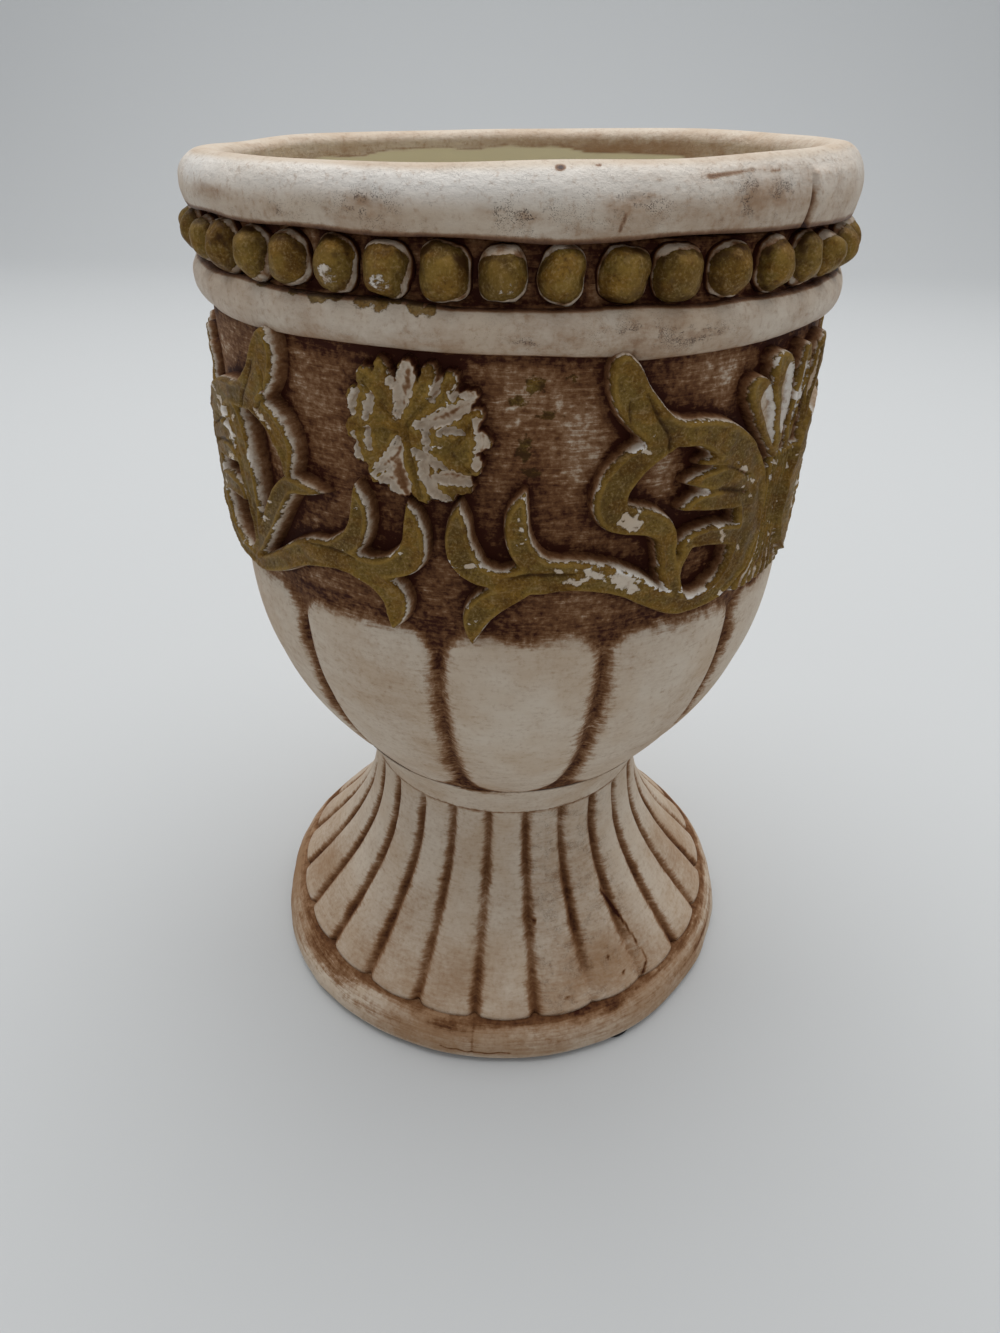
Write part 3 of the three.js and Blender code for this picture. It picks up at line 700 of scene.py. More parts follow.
def garlandField(opts, sprig):
    spacing = opts["spacing"]
    across, up = makeGrid((-halfRepeat, -6), (halfRepeat, 48.5), spacing)
    middle, fan = sprig["lean"], sprig["fan"]
    rightHand = 1 - max(-middle, 0) / halfRepeat  # the scroll it leans towards is squeezed
    leftHand = 1 - max(middle, 0) / halfRepeat

    def bothHands(right, left, join):
        return joinStrokes(across, up, shiftStrokes(right, -halfRepeat, rightHand)
                           + shiftStrokes(left, halfRepeat, -leftHand), join)

    def fannedOut(side, centre):
        strokes = shiftStrokes(side, middle, fan) + shiftStrokes(side, middle, -fan)
        strokes += shiftStrokes(centre, middle, 1)
        base = stalks["top"]
        shorter = [[(x, base + (y - base) * sprig["long"], w) for x, y, w in stroke] for stroke in strokes]
        return joinStrokes(across, up, shorter, 0.25)

    # leaf bands, and a palmette of hollow petals over a ribbed bundle of stalks
    bands = bothHands(rightScroll, leftScroll, 0.7)
    height = leafHeight(bands, opts, opts["rise"])
    petalIn = fannedOut(leftPetals, middlePetal)
    spoon = ease(-0.4, 0.5, fannedOut(leftSpoons, middleSpoon)) * ease(0.5, 1.1, petalIn)
    lift = 1 + 0.2 * ease(24, 44, up)[:, None]  # petals curl out towards their tips
    petalHigh = roundedWall(petalIn, 0.9) * sprig["petalRise"] * lift - 1.3 * spoon
    a, y = across[None, :] - middle, up[:, None]
    half = stalks["half"] + stalks["spread"] * ease(stalks["foot"], 0, y)
    stalkIn = np.minimum(half - np.abs(a), np.minimum(stalks["top"] - y, y + 0.6))
    ribs = np.abs(np.cos(math.pi * stalks["ribs"] / 2 * a / half))
    stalkHigh = opts["stalkRise"] * roundedWall(stalkIn, 1.2) + 0.7 * ribs * ease(0.2, 1, stalkIn) - 0.4
    height = softMax(height, softMax(petalHigh, stalkHigh, 0.3), 0.3)
    height = height * (1 - sprig["thin"] * ease(middle + 6, middle + 20, across)[None, :] * (height > 0))
    inside = np.maximum(bands, np.maximum(petalIn, stalkIn))
    # gold on the crests and wash along the foot, then creases, rubbed places and bare petals
    gilt, pooled, paintedShine = brushedGilt(inside, spacing, 0.36, 0.28)
    crease = bothHands(creases, creases, 0.1)
    cut = ease(-0.35, 0.25, crease) * ease(0.4, 1, bands)
    height = height - 0.55 * cut
    gilt = gilt - 0.25 * cut
    pooled = np.maximum(pooled, 0.6 * cut)
    spread = np.stack([np.broadcast_to(a, inside.shape).ravel(), np.broadcast_to(y, inside.shape).ravel(),
                       np.zeros(inside.size)], 1)
    patchy = (0.6 * lumps(spread, 1.3, 91) + 0.4 * lumps(spread, 0.6, 92)).reshape(inside.shape)
    rubs = bothHands(rubbedRight, rubbedLeft, 0.2) + 0.7 * patchy
    gilt = np.minimum(gilt, 1.1) - 0.8 * ease(-0.8, 0.9, rubs)
    hollow = spoon * (petalIn > np.maximum(bands, stalkIn * (y < stalks["top"] - 4)))
    gilt = np.clip(gilt - 1.3 * hollow, -1, 1.15)
    pooled = np.maximum(pooled, 0.24 * hollow)
    between = ease(0.8, 0.45, ribs + 0.12 * patchy) * (stalkIn > 0.5) * (stalkIn > petalIn) * (bands < 0.5)
    gilt = gilt - 0.9 * between
    pooled = np.maximum(pooled, (0.3 + 0.16 * patchy) * between)
    hemmed = blurField((inside > 0).astype(float), 3.2, spacing)
    return {"across": across, "up": up, "height": height, "inside": inside, "gilt": gilt, "wash": pooled,
            "paintedShine": paintedShine, "hemmed": hemmed}


def medallionField(opts):
    spacing = opts["leafSpacing"]
    across, up = makeGrid((-16.5, 21.5), (12, 48.2), spacing)
    x, y = np.meshgrid(across, up)
    serration = 0.22 * np.sin(3.1 * x + 1.3 * np.sin(2.3 * y)) * np.sin(2.9 * y + 1.7 * np.sin(1.9 * x))
    body = joinStrokes(across, up, leafBody, 0.3) + serration
    hollow = joinStrokes(across, up, hollows, 0.2) + 1.2 * serration
    vein = joinStrokes(across, up, veins, 0.1)
    dome = 0.5 * ease(0, 6, body)
    height = opts["leafRise"] * roundedWall(body, 1.1) + dome
    sunk = ease(-0.45, 0.25, hollow)
    height = height - opts["hollow"] * sunk * ease(0, 1, body) - 0.4 * ease(-0.3, 0.2, vein) * (1 - sunk)
    height = height + 0.25 * np.exp(-((hollow + 0.5) / 0.3) ** 2) * (body > 0.8)
    gilt, pooled, paintedShine = brushedGilt(np.minimum(body - 0.2, -hollow - 0.15), spacing, 0.0, 0.35)
    # wash pooled in the hollows, with painted shade deepening their middles
    pooled = np.maximum(pooled * ease(0.8, 0.3, body), 0.56 * ease(0.1, 1.2, hollow))
    pooled = np.maximum(pooled, 0.3 * ease(-0.3, 0.2, vein))
    return {"across": across, "up": up, "height": height, "inside": body, "gilt": np.clip(gilt, -1, 1.15),
            "wash": pooled, "paintedShine": paintedShine}


def sampleField(field, key, x, y, beyond):
    across, up, values = field["across"], field["up"], field[key]
    i = np.clip((x - across[0]) / (across[1] - across[0]), 0, len(across) - 1.001)
    j = np.clip((y - up[0]) / (up[1] - up[0]), 0, len(up) - 1.001)
    i0, j0 = i.astype(int), j.astype(int)
    fi, fj = i - i0, j - j0
    low = values[j0, i0] * (1 - fi) + values[j0, i0 + 1] * fi
    high = values[j0 + 1, i0] * (1 - fi) + values[j0 + 1, i0 + 1] * fi
    outside = (x < across[0]) | (x > across[-1]) | (y < up[0]) | (y > up[-1])
    return np.where(outside, beyond, low * (1 - fj) + high * fj)


garlandMaps = [garlandField(reliefShape, sprig) for sprig in sprigs]
medallionMap = medallionField(reliefShape)
print("relief drawn")


def reliefSheet(name, field, opts):
    across, up = field["across"], field["up"]
    spanX, spanY = across[-1] - across[0], up[-1] - up[0]
    bm = bmesh.new()
    bmesh.ops.create_grid(bm, x_segments=len(across) - 1, y_segments=len(up) - 1, size=0.5)
    high = field["height"]
    keep = high > -opts["sink"] * 1.6
    spare = []
    for face in bm.faces:
        middle = face.calc_center_median()
        i = int((middle.x + 0.5) * (len(across) - 1))
        j = int((middle.y + 0.5) * (len(up) - 1))
        if not keep[j:j + 2, i:i + 2].any():
            spare.append(face)
    bmesh.ops.delete(bm, geom=spare, context="FACES")
    for vert in bm.verts:
        vert.co.z = 1.0  # front
    back = bmesh.ops.extrude_face_region(bm, geom=list(bm.faces), use_keep_orig=True)
    for item in back["geom"]:
        if isinstance(item, bmesh.types.BMVert):
            item.co.z = -1.0
    mesh = finishMesh(name, bm)
    flat = corners(mesh) * mm
    x = across[0] + (flat[:, 0] + 0.5) * spanX
    y = up[0] + (flat[:, 1] + 0.5) * spanY
    front = flat[:, 2] > 0
    lift = sampleField(field, "height", x, y, -opts["sink"])
    return mesh, x, y, front, lift


def bendRelief(mesh, x, y, front, lift, turn, opts, seed):
    angle = math.radians(turn) + x / drawnRadius
    radius = wallRadius + np.where(front, np.maximum(lift, -opts["sink"]), -opts["backing"])
    places = fromPolar(angle, radius, friezeFoot + y)
    rough = 0.13 * lumps(places, 3.4, seed) + 0.05 * lumps(places, 1.2, seed + 1)
    radius = radius + np.where(front & (lift > 0.3), rough, 0)
    movePlaces(mesh, fromPolar(angle, radius, friezeFoot + y))


def paintRelief(mesh, field, x, y, front):
    gilt, wash, paintedShine = (sampleField(field, key, x, y, 0) for key in ("gilt", "wash", "paintedShine"))
    paint(mesh, gilt=np.where(front, gilt, 0), wash=wash, paintedShine=np.where(front, paintedShine, 0))


def buildGarlands():
    for i, (field, turn) in enumerate(zip(garlandMaps, garlandTurns)):
        mesh, x, y, front, lift = reliefSheet("garland", field, reliefShape)
        paintRelief(mesh, field, x, y, front)
        bendRelief(mesh, x, y, front, lift, turn, reliefShape, 11 + i)
        addPiece(f"gilt_garland_{i + 1}", mesh, giltClay, "old_gold", f"garland_{i + 1}")


def buildMedallions():
    first, x, y, front, lift = reliefSheet("medallion", medallionMap, reliefShape)
    paintRelief(first, medallionMap, x, y, front)
    for i, turn in enumerate(medallionTurns):
        mesh = first.copy() if i < repeats - 1 else first
        bendRelief(mesh, x, y, front, lift, turn, reliefShape, 21 + i)
        addPiece(f"gilt_medallion_{i + 1}", mesh, giltClay, "old_gold", f"medallion_{i + 1}")


buildGarlands()
buildMedallions()
print("relief built")


# The cup
cup = {
    "steps": 480,
    "collar": 41.7,
    "footPull": (13.4, 20.6),  # how the swell leaves the collar
    "crest": 61.85,
    "crestPull": 22.4,
    "crestDrop": 4,  # the widest place lies this far under the frieze
    "channel": 60.3,  # behind the beads
    "mouth": 55.1,
    "throat": 14,
    "floor": 26.0,
    "floorLevel": 79.0,
    "floorPull": (20, 7),
    "wallMiddle": 2.5,  # out from the inner wall
    "lobes": 12,
    "groove": 2.0,
    "shoulder": 3.2,  # width of the rounding on either side of a groove
    "grooveFloor": 0.3,
    "lobeBow": 0.5,
    "belly": 0.8,
    "bellyRise": 34,
    "topCorner": 7.5,
    "bottomCorner": 10.0,
    "lobeTop": 127.2,
    "grooveWash": 0.66,
    "friezeWash": 0.6,
    "reliefPaintedShade": 0.34,  # painted shade: the ground darker close to the relief
    "hemmedWash": 0.42,  # and where it hems the ground in
    "channelWash": 0.86,
    "smearGilt": 0.76,
}
oliveSmears = [(15.4, 171.4, 2.6, 1.8), (13, 169, 2.4, 1.2), (14.2, 161.2, 1.6, 3.4), (15.4, 157.4, 2.4, 1.2),
               (17.5, 166.8, 2.6, 1.0), (21, 172.5, 1.6, 1.0)]


def cupProfile(opts):
    crestLevel = friezeFoot - opts["crestDrop"]
    floor, floorLevel, throatLevel = opts["floor"], opts["floorLevel"], bowlTop - opts["throat"]
    (footX, footY), (floorX, floorY) = opts["footPull"], opts["floorPull"]
    swell = bezier((opts["collar"], bowlFoot), (opts["collar"] + footX, bowlFoot + footY),
                   (opts["crest"], crestLevel - opts["crestPull"]), (opts["crest"], crestLevel), 58)
    inner = bezier((opts["mouth"], crestLevel), (opts["mouth"], crestLevel - opts["crestPull"]),
                   (floor + floorX, floorLevel + floorY), (floor, floorLevel), 22)
    return joinCurves(
        straight((0, bowlFoot), (opts["collar"], bowlFoot), 5),
        swell,
        straight((opts["crest"], crestLevel), (wallRadius, friezeFoot), 4),
        straight((wallRadius, friezeFoot), (wallRadius, mouldingTop - 0.5), 62),
        straight((wallRadius, mouldingTop), (opts["channel"], mouldingTop + 0.4), 1),
        straight((opts["channel"], mouldingTop + 0.4), (opts["channel"], bowlTop), 8),
        straight((opts["channel"], bowlTop), (opts["mouth"], bowlTop), 2),
        straight((opts["mouth"], bowlTop), (opts["mouth"], throatLevel), 12),
        straight((opts["mouth"], throatLevel), (opts["mouth"], crestLevel), 10),
        inner,
        straight((floor, floorLevel), (0, floorLevel), 5),
    )


def lobeInside(angle, radius, height, rise, opts):
    # how far a point lies inside its lobe's rounded outline, in mm
    pitch = 2 * math.pi / opts["lobes"]
    offset = (angle % pitch) - pitch / 2
    side = pitch / 2 * radius - opts["grooveFloor"] - np.abs(offset) * radius
    top = (opts["lobeTop"] - height) * 1.1
    corner = opts["topCorner"]
    upper = corner - np.hypot(np.maximum(corner - side, 0), np.maximum(corner - top, 0))
    corner = opts["bottomCorner"]
    lower = corner - np.hypot(np.maximum(corner - side, 0), np.maximum(corner - rise - 1, 0))
    return np.minimum(np.minimum(side, top), np.minimum(upper, lower))


def reliefShade(angle, height):
    # nearness to the relief's outlines, and how hemmed in by it a spot is
    y = height - friezeFoot
    near, hemmed = np.full(len(angle), farOut), np.zeros(len(angle))
    for field, turn in zip(garlandMaps, garlandTurns):
        along = angleGap(angle, math.radians(turn)) * drawnRadius
        near = np.maximum(near, sampleField(field, "inside", along, y, farOut))
        hemmed = np.maximum(hemmed, sampleField(field, "hemmed", along, y, 0))
    for turn in medallionTurns:
        along = angleGap(angle, math.radians(turn)) * drawnRadius
        near = np.maximum(near, sampleField(medallionMap, "inside", along, y, farOut))
    return near, hemmed


def buildCup(opts):
    mesh = turnProfile("cup", cupProfile(opts), opts["steps"], False)
    angle, radius, height = polar(corners(mesh))
    inner = cupProfile(opts)
    inner = inner[np.argmax(inner[:, 1] >= bowlTop) + 2:][::-1]  # the inner wall, from the floor up
    outside = radius > np.interp(height, inner[:, 1], inner[:, 0], left=-10) + opts["wallMiddle"]
    skirt = outside & (height < friezeFoot + 1) & (radius > opts["collar"] - 0.01)

    # lobes with rounded ends, parted by grooves
    rise = np.hypot(height - bowlFoot, radius - opts["collar"])
    inLobe = lobeInside(angle, radius, height, rise, opts)
    full = radius + opts["belly"] * np.sin(math.pi * np.clip(rise / opts["bellyRise"], 0, 1))
    grooveLevel = full - opts["groove"] * (0.12 + 0.88 * ease(0, 8, rise))
    grooveLevel = grooveLevel + (wallRadius - grooveLevel) * ease(friezeFoot - 9, friezeFoot + 0.6, height)
    shoulder = np.sin(np.clip(inLobe / opts["shoulder"], 0, 1) * math.pi / 2) ** 0.9
    pitch = 2 * math.pi / opts["lobes"]
    across = np.abs((angle % pitch) / pitch - 0.5) * 2
    crest = full - opts["lobeBow"] * across ** 2
    newRadius = np.where(skirt, grooveLevel + (crest - grooveLevel) * shoulder, radius)
    places = fromPolar(angle, newRadius, height)
    unevenness = np.where(outside, 0.12 * lumps(places, 26, 5), 0.25 * lumps(places, 40, 6))
    newRadius = newRadius + unevenness * (height > bowlFoot + 0.5) * (radius > 5)
    movePlaces(mesh, fromPolar(angle, newRadius, height))

    # wash on the frieze's ground, in the grooves and in the channel behind the beads
    near, hemmed = reliefShade(angle, height)
    onFrieze = outside & (height > friezeFoot - 8) & (height < mouldingTop)
    # painted shade around the relief's outlines
    ground = opts["friezeWash"] + opts["reliefPaintedShade"] * np.exp(np.minimum(near, 0) / 1.1)
    ground = ground + opts["hemmedWash"] * ease(0.30, 0.70, hemmed)
    ground = ground + 0.3 * ease(mouldingFoot - 3, mouldingFoot, height) - 0.13 * lumps(places, 10, 8)
    core = np.maximum(inLobe, 0)
    washReach = 1.8 + 0.4 * lumps(places, 14, 14)
    groove = (opts["grooveWash"] + 0.12 * lumps(places, 9, 9)) * np.exp(-(core / washReach) ** 1.6)
    groove = groove + 0.16 * np.exp(-core / 2.6)
    wash = np.where(skirt, groove, 0)
    overLobe = ease(friezeFoot - 4.2, friezeFoot - 1.2, height + 0.9 * lumps(places, 8, 10))
    wash = np.where(onFrieze, np.maximum(wash, ground * overLobe), wash)
    channel = opts["channelWash"] + 0.2 * lumps(places, 2.6, 13)
    wash = np.where(outside & (height >= mouldingTop), channel, wash)
    smear = np.where(onFrieze, opts["smearGilt"] * spots(angle, height, radius, oliveSmears), 0)
    stain = np.where(skirt, 0.2 + 0.1 * lumps(places, 22, 12), 0)
    pits = np.where(skirt, 0.3, 0)
    paint(mesh, wash=wash, gilt=smear, stain=stain, glaze=(~outside).astype(float), pits=pits)
    addPiece("clay_bowl", mesh, agedClay, "cream_clay", "bowl")


buildCup(cup)
print("cup built")


# The rim coil
rim = {
    "steps": 860,
    "mouth": 55.1,
    "bulge": 63.6,
    "crown": 3.6,
    "shoulder": 6.4,
    "lip": 2.4,
    "tilt": 0.0244,  # the top climbs towards one side
    "tiltSide": 102.4,
    "joint": 57.5,  # where the coil's ends meet, degrees
    "jointStep": 0.8,  # one end stands proud of the other
    "jointCut": 0.7,
    "jointWash": 0.75,
    "glazeLine": 4.7,  # how far under the top the glaze begins
    "overlapWash": 0.5,
    "slashWash": 0.6,
    "shoulderSheen": 0.42,  # strength of the painted sheen along the shoulder
    "sheen": 0.48,  # and how much more of it at the spots in rimSheen
    "tan": 0.46,
}
rimPits = [(44.4, 196, 2.6, 2.4), (50.4, 196.2, 2.8, 1.8), (-7.3, 195.8, 3.2, 1.6), (9.2, 195, 2.4, 1.2),
           (27, 196.4, 4, 1.4), (-21.9, 193.8, 1.4, 1.0), (14, 194.6, 2.6, 1.2), (132, 195, 3, 2),
           (-96, 196, 4, 2), (214, 195, 3, 2)]
rimSmudges = [(14.4, 197, 2.2, 0.8), (13.9, 194.3, 2.6, 0.9), (27.9, 197.3, 1.8, 0.7), (31, 199, 5, 0.6),
              (44, 199.4, 7, 0.5), (60, 198.6, 5, 1.2), (-7.3, 195.8, 1.4, 0.7), (-13.3, 194.3, 1.0, 0.6),
              (-32, 196, 6, 1.4), (100, 197, 8, 1.2), (170, 196, 7, 1.5), (-120, 197, 8, 1.2)]
rimSheen = [(0, 199, 30, 9), (-46, 197, 16, 7)]  # painted sheen, strongest in front and at the left
rimTan = [(46, 196.6, 20, 4.4), (-40, 195, 7, 1.2), (160, 197, 30, 3)]
rimChips = [(17.6, 200.2, 0.9, 0.5), (22.5, 200.4, 0.35, 0.25)]
rimDents = [(-13.3, 194.3, 1.4, 0.8), (-22, 193.8, 1.0, 0.7)]
rimOverlap = [(36, 199.2), (40, 199.6), (45, 199.9), (50, 199.8)]
rimSlash = [(25.1, 193), (25.7, 195)]


def buildRim(opts):
    crestX = opts["mouth"] + opts["crown"]
    profile = joinCurves(
        straight((opts["mouth"], rimFoot), (opts["bulge"] - 1.2, rimFoot), 10),
        ellipse((crestX, rimTop - opts["shoulder"]), opts["bulge"] - crestX, opts["shoulder"], -30, 90, 42),
        ellipse((crestX, rimTop - opts["lip"]), opts["crown"], opts["lip"], 90, 180, 16),
        straight((opts["mouth"], rimTop - opts["lip"]), (opts["mouth"], rimFoot), 16),
    )[:-1]
    mesh = turnProfile("rim", profile, opts["steps"], True)
    angle, radius, height = polar(corners(mesh))
    joint = math.radians(opts["joint"])
    angle = angle - 0.045 * np.tanh(angleGap(angle, joint) / 0.07)  # rows drawn closer together at the joint
    up = (height - rimFoot) / (rimTop - rimFoot)
    outer = ease(crestX - 1, crestX + 3, radius)
    places = fromPolar(angle, radius, height)
    # dents, pits, smudges and chips where the marks are, and the coil's overlapping ends
    dents = 0.3 * spots(angle, height, radius, rimDents) * outer
    pitted = np.clip(spots(angle, height, radius, rimPits), 0, 1) * outer
    smudged = spots(angle, height, radius, rimSmudges)
    chipped = spots(angle, height, radius, rimChips) * outer
    lean = (height - rimFoot - 4) * 0.09
    beside = angleGap(angle, joint) * radius - lean
    onFace = outer * ease(0.84, 0.70, up)
    proud = opts["jointStep"] * np.exp(-np.maximum(beside, 0) / 9)
    proud = proud / (1 + np.exp(-np.clip(beside, -3, 3) / 0.1))
    cut = opts["jointCut"] * np.exp(-((beside + 0.1) / 0.28) ** 2) * ease(0.8, 0.5, up)
    # the whole coil leans and waves a little, as rolled by hand
    leaning = opts["tilt"] * radius * np.sin(angle - math.radians(opts["tiltSide"]) + math.pi / 2)
    height = height + up * leaning + up * 0.28 * lumps(places, 38, 31)
    height = height + (1 - up) * outer * (0.45 * lumps(places, 17, 32) + 0.25)
    hand = outer * (0.22 * lumps(places, 22, 33) + 0.09 * lumps(places, 5, 34))
    radius = radius + hand + (1 - outer) * 0.15 * lumps(places, 26, 35)
    radius = radius + onFace * (proud - cut)
    radius = radius - dents - 0.12 * pitted * np.abs(lumps(places, 1.3, 37))
    movePlaces(mesh, fromPolar(angle, radius, height))
    # wash in the joint, in the chips and along the lines, and darker round the foot
    wash = opts["jointWash"] * np.exp(-((beside + 0.15) / 0.3) ** 2) * outer * ease(0.74, 0.4, up)
    overlap = crackLine(angle, height, radius, rimOverlap, 0.3) * outer
    slash = crackLine(angle, height, radius, rimSlash, 0.3) * outer
    wash = wash + 0.75 * ease(0.12, 0.0, up) * outer + 0.07 * smudged + 0.08 * pitted
    wash = wash + 1.5 * chipped ** 2 + 0.5 * dents
    overlap = overlap * np.clip(0.7 + lumps(places, 5, 38), 0, 1)
    wash = wash + opts["overlapWash"] * overlap + opts["slashWash"] * slash
    # the glaze inside ends in a wavy line, with a painted shadow line just above it
    line = opts["glazeLine"] + 0.7 * np.sin(angle * 3 + 0.6)
    line = line + 0.35 * np.sin(angle * 11) + 0.2 * np.sin(angle * 23 + 1)
    below = (rimTop - height) + up * leaning
    within = ease(crestX - 1.5, crestX - 2.8, radius)
    glaze = within * ease(line - 0.15, line + 0.15, below)
    # painted shadow: a thin dark line just above the glaze's edge
    paintedGlazeShadow = within * np.exp(-((below - line + 0.3) / 0.4) ** 2)
    # tan brushed over the face, and a painted sheen on the shoulder: whiter, less tan slip
    brushedTan = 0.12 + 0.24 * np.clip(lumps(places, 15, 36), 0, 1)
    stain = 0.3 * within + outer * brushedTan + 0.24 * smudged + 0.16 * pitted
    # painted sheen on the upward-facing shoulder
    chalkyAndPaintedSheen = ease(crestX + 1.5, crestX + 3, radius) * ease(0.3, 0.76, up)
    chalkyAndPaintedSheen = chalkyAndPaintedSheen * (opts["shoulderSheen"] + opts["sheen"] * spots(angle, height, radius, rimSheen))
    stain = stain - 0.4 * chalkyAndPaintedSheen + 0.06 * outer * ease(0.6, 0.2, up)
    stain = stain + opts["tan"] * spots(angle, height, radius, rimTan)
    paint(mesh, wash=wash + 0.3 * paintedGlazeShadow, stain=stain, glaze=glaze,
          pits=np.clip(0.42 * outer + pitted, 0, 1), paintedShine=chalkyAndPaintedSheen)
    addPiece("clay_rim", mesh, rimClay, "cream_clay", "rim_coil")


rimClay = antiquedClay("rimClay", streak=(110, 110, 620), fringe=0.26, cloud=1.1, grit=1.0, gloss=0.5,
                       chalkyAndPaintedSheen=True, sandy=0.7)  # for the moulding too
buildRim(rim)
print("rim built")


# The moulding under the beads
moulding = {
    "steps": 760,
    "bore": 61.0,
    "crest": 63.8,
    "seam": 28.8,  # angle at which its ends step past each other, degrees
    "step": 0.8,
    "seamCut": 0.4,
    "spill": 0.95,  # gold run over from the beads
}
mouldingPits = [(29.1, 179.1, 5, 1.6), (13.7, 178, 2, 0.8), (38, 178.6, 6, 1.4), (150, 179, 5, 2),
                (-80, 179, 6, 2)]
giltSpills = [(-16.4, 182.4, 2.6, 1.0), (-13.4, 182.7, 1.6, 0.8), (-8.8, 182.4, 2.2, 1.1),
              (-6.2, 182.1, 1.5, 1.3), (-4, 182.7, 1.4, 0.7), (-1.2, 182.3, 1.6, 1.3),
              (0.9, 182.1, 1.4, 1.1), (-21, 182.8, 1.8, 0.8), (-28, 182.8, 1.6, 0.7), (4, 182.9, 1.0, 0.5),
              (84, 182.6, 2.2, 1.2), (131, 182.6, 2.4, 1.2), (199, 182.6, 2.0, 1.3), (262, 182.6, 2.4, 1.1)]


def buildMoulding(opts):
    middle = (mouldingFoot + mouldingTop) / 2
    half = (mouldingTop - mouldingFoot) / 2
    profile = joinCurves(
        straight((opts["bore"] - 0.4, mouldingFoot), (opts["bore"] + 0.5, mouldingFoot), 2),
        ellipse((opts["bore"] + 0.5, middle), opts["crest"] - opts["bore"] - 0.5, half, -90, 90, 34),
        straight((opts["bore"] + 0.5, mouldingTop), (opts["bore"] - 0.4, mouldingTop), 2),
    )
    mesh = turnProfile("moulding", profile, opts["steps"], True)
    angle, radius, height = polar(corners(mesh))
    places = fromPolar(angle, radius, height)
    out = ease(opts["bore"], opts["bore"] + 1, radius)
    up = (height - mouldingFoot) / (2 * half)
    pitted = spots(angle, height, radius, mouldingPits) * out
    spill = opts["spill"] * spots(angle, height, radius, giltSpills)
    # its lower edge drops where one end steps past the other
    beside = angleGap(angle, math.radians(opts["seam"])) * radius
    past = np.exp(-np.maximum(beside, 0) / 40) / (1 + np.exp(-np.clip(beside, -9, 9) / 0.3))
    low = ease(middle, mouldingFoot, height)
    height = height + low * (0.22 * lumps(places, 24, 41) - opts["step"] * past)
    height = height + ease(middle, mouldingTop, height) * 0.25 * lumps(places, 14, 42)
    radius = radius + out * (0.14 * lumps(places, 20, 43) + 0.07 * lumps(places, 5, 44))
    radius = radius - out * opts["seamCut"] * np.exp(-(beside / 0.45) ** 2) * low
    radius = radius - 0.1 * pitted * np.abs(lumps(places, 1.3, 45))
    movePlaces(mesh, fromPolar(angle, radius, height))
    wash = 0.85 * ease(0.90, 1.0, up) + 0.8 * ease(0.07, 0.0, up) + 0.3 * pitted
    wash = wash + 0.4 * np.exp(-(beside / 0.35) ** 2) * low
    stain = 0.26 + 0.25 * np.clip(lumps(places, 14, 46), 0, 1) + 0.2 * low
    paint(mesh, wash=wash, gilt=spill, stain=stain, pits=np.clip(0.3 + pitted, 0, 1))
    addPiece("clay_moulding", mesh, rimClay, "cream_clay", "lower_moulding")


buildMoulding(moulding)
print("moulding built")


# The beads, each pressed by hand
beads = {
    "count": 44,
    "wide": 3.85,
    "high": 4.15,
    "deep": 4.9,
    "squareness": 2.6,
    "seat": 60.4,
    "seed": 7,
    "turns": (-0.5, 0.5),  # each bead differs a little, within these ranges
    "widths": (0.90, 1.02),
    "heights": (0.95, 1.03),
    "depths": (0.90, 1.02),
    "tilts": (-9, 9),
    "squarer": (-0.3, 0.4),
    "wider": 1.08,
    "nearBead": 4,  # an angle below means the bead within this many degrees
    "wideBeads": (30.6, 38.8),  # two neighbours are wider than the rest, at these angles
    "rubbedBeads": (-13.3, -5.3),  # and two are rubbed through to the slip, there whitened by the painted highlight
}


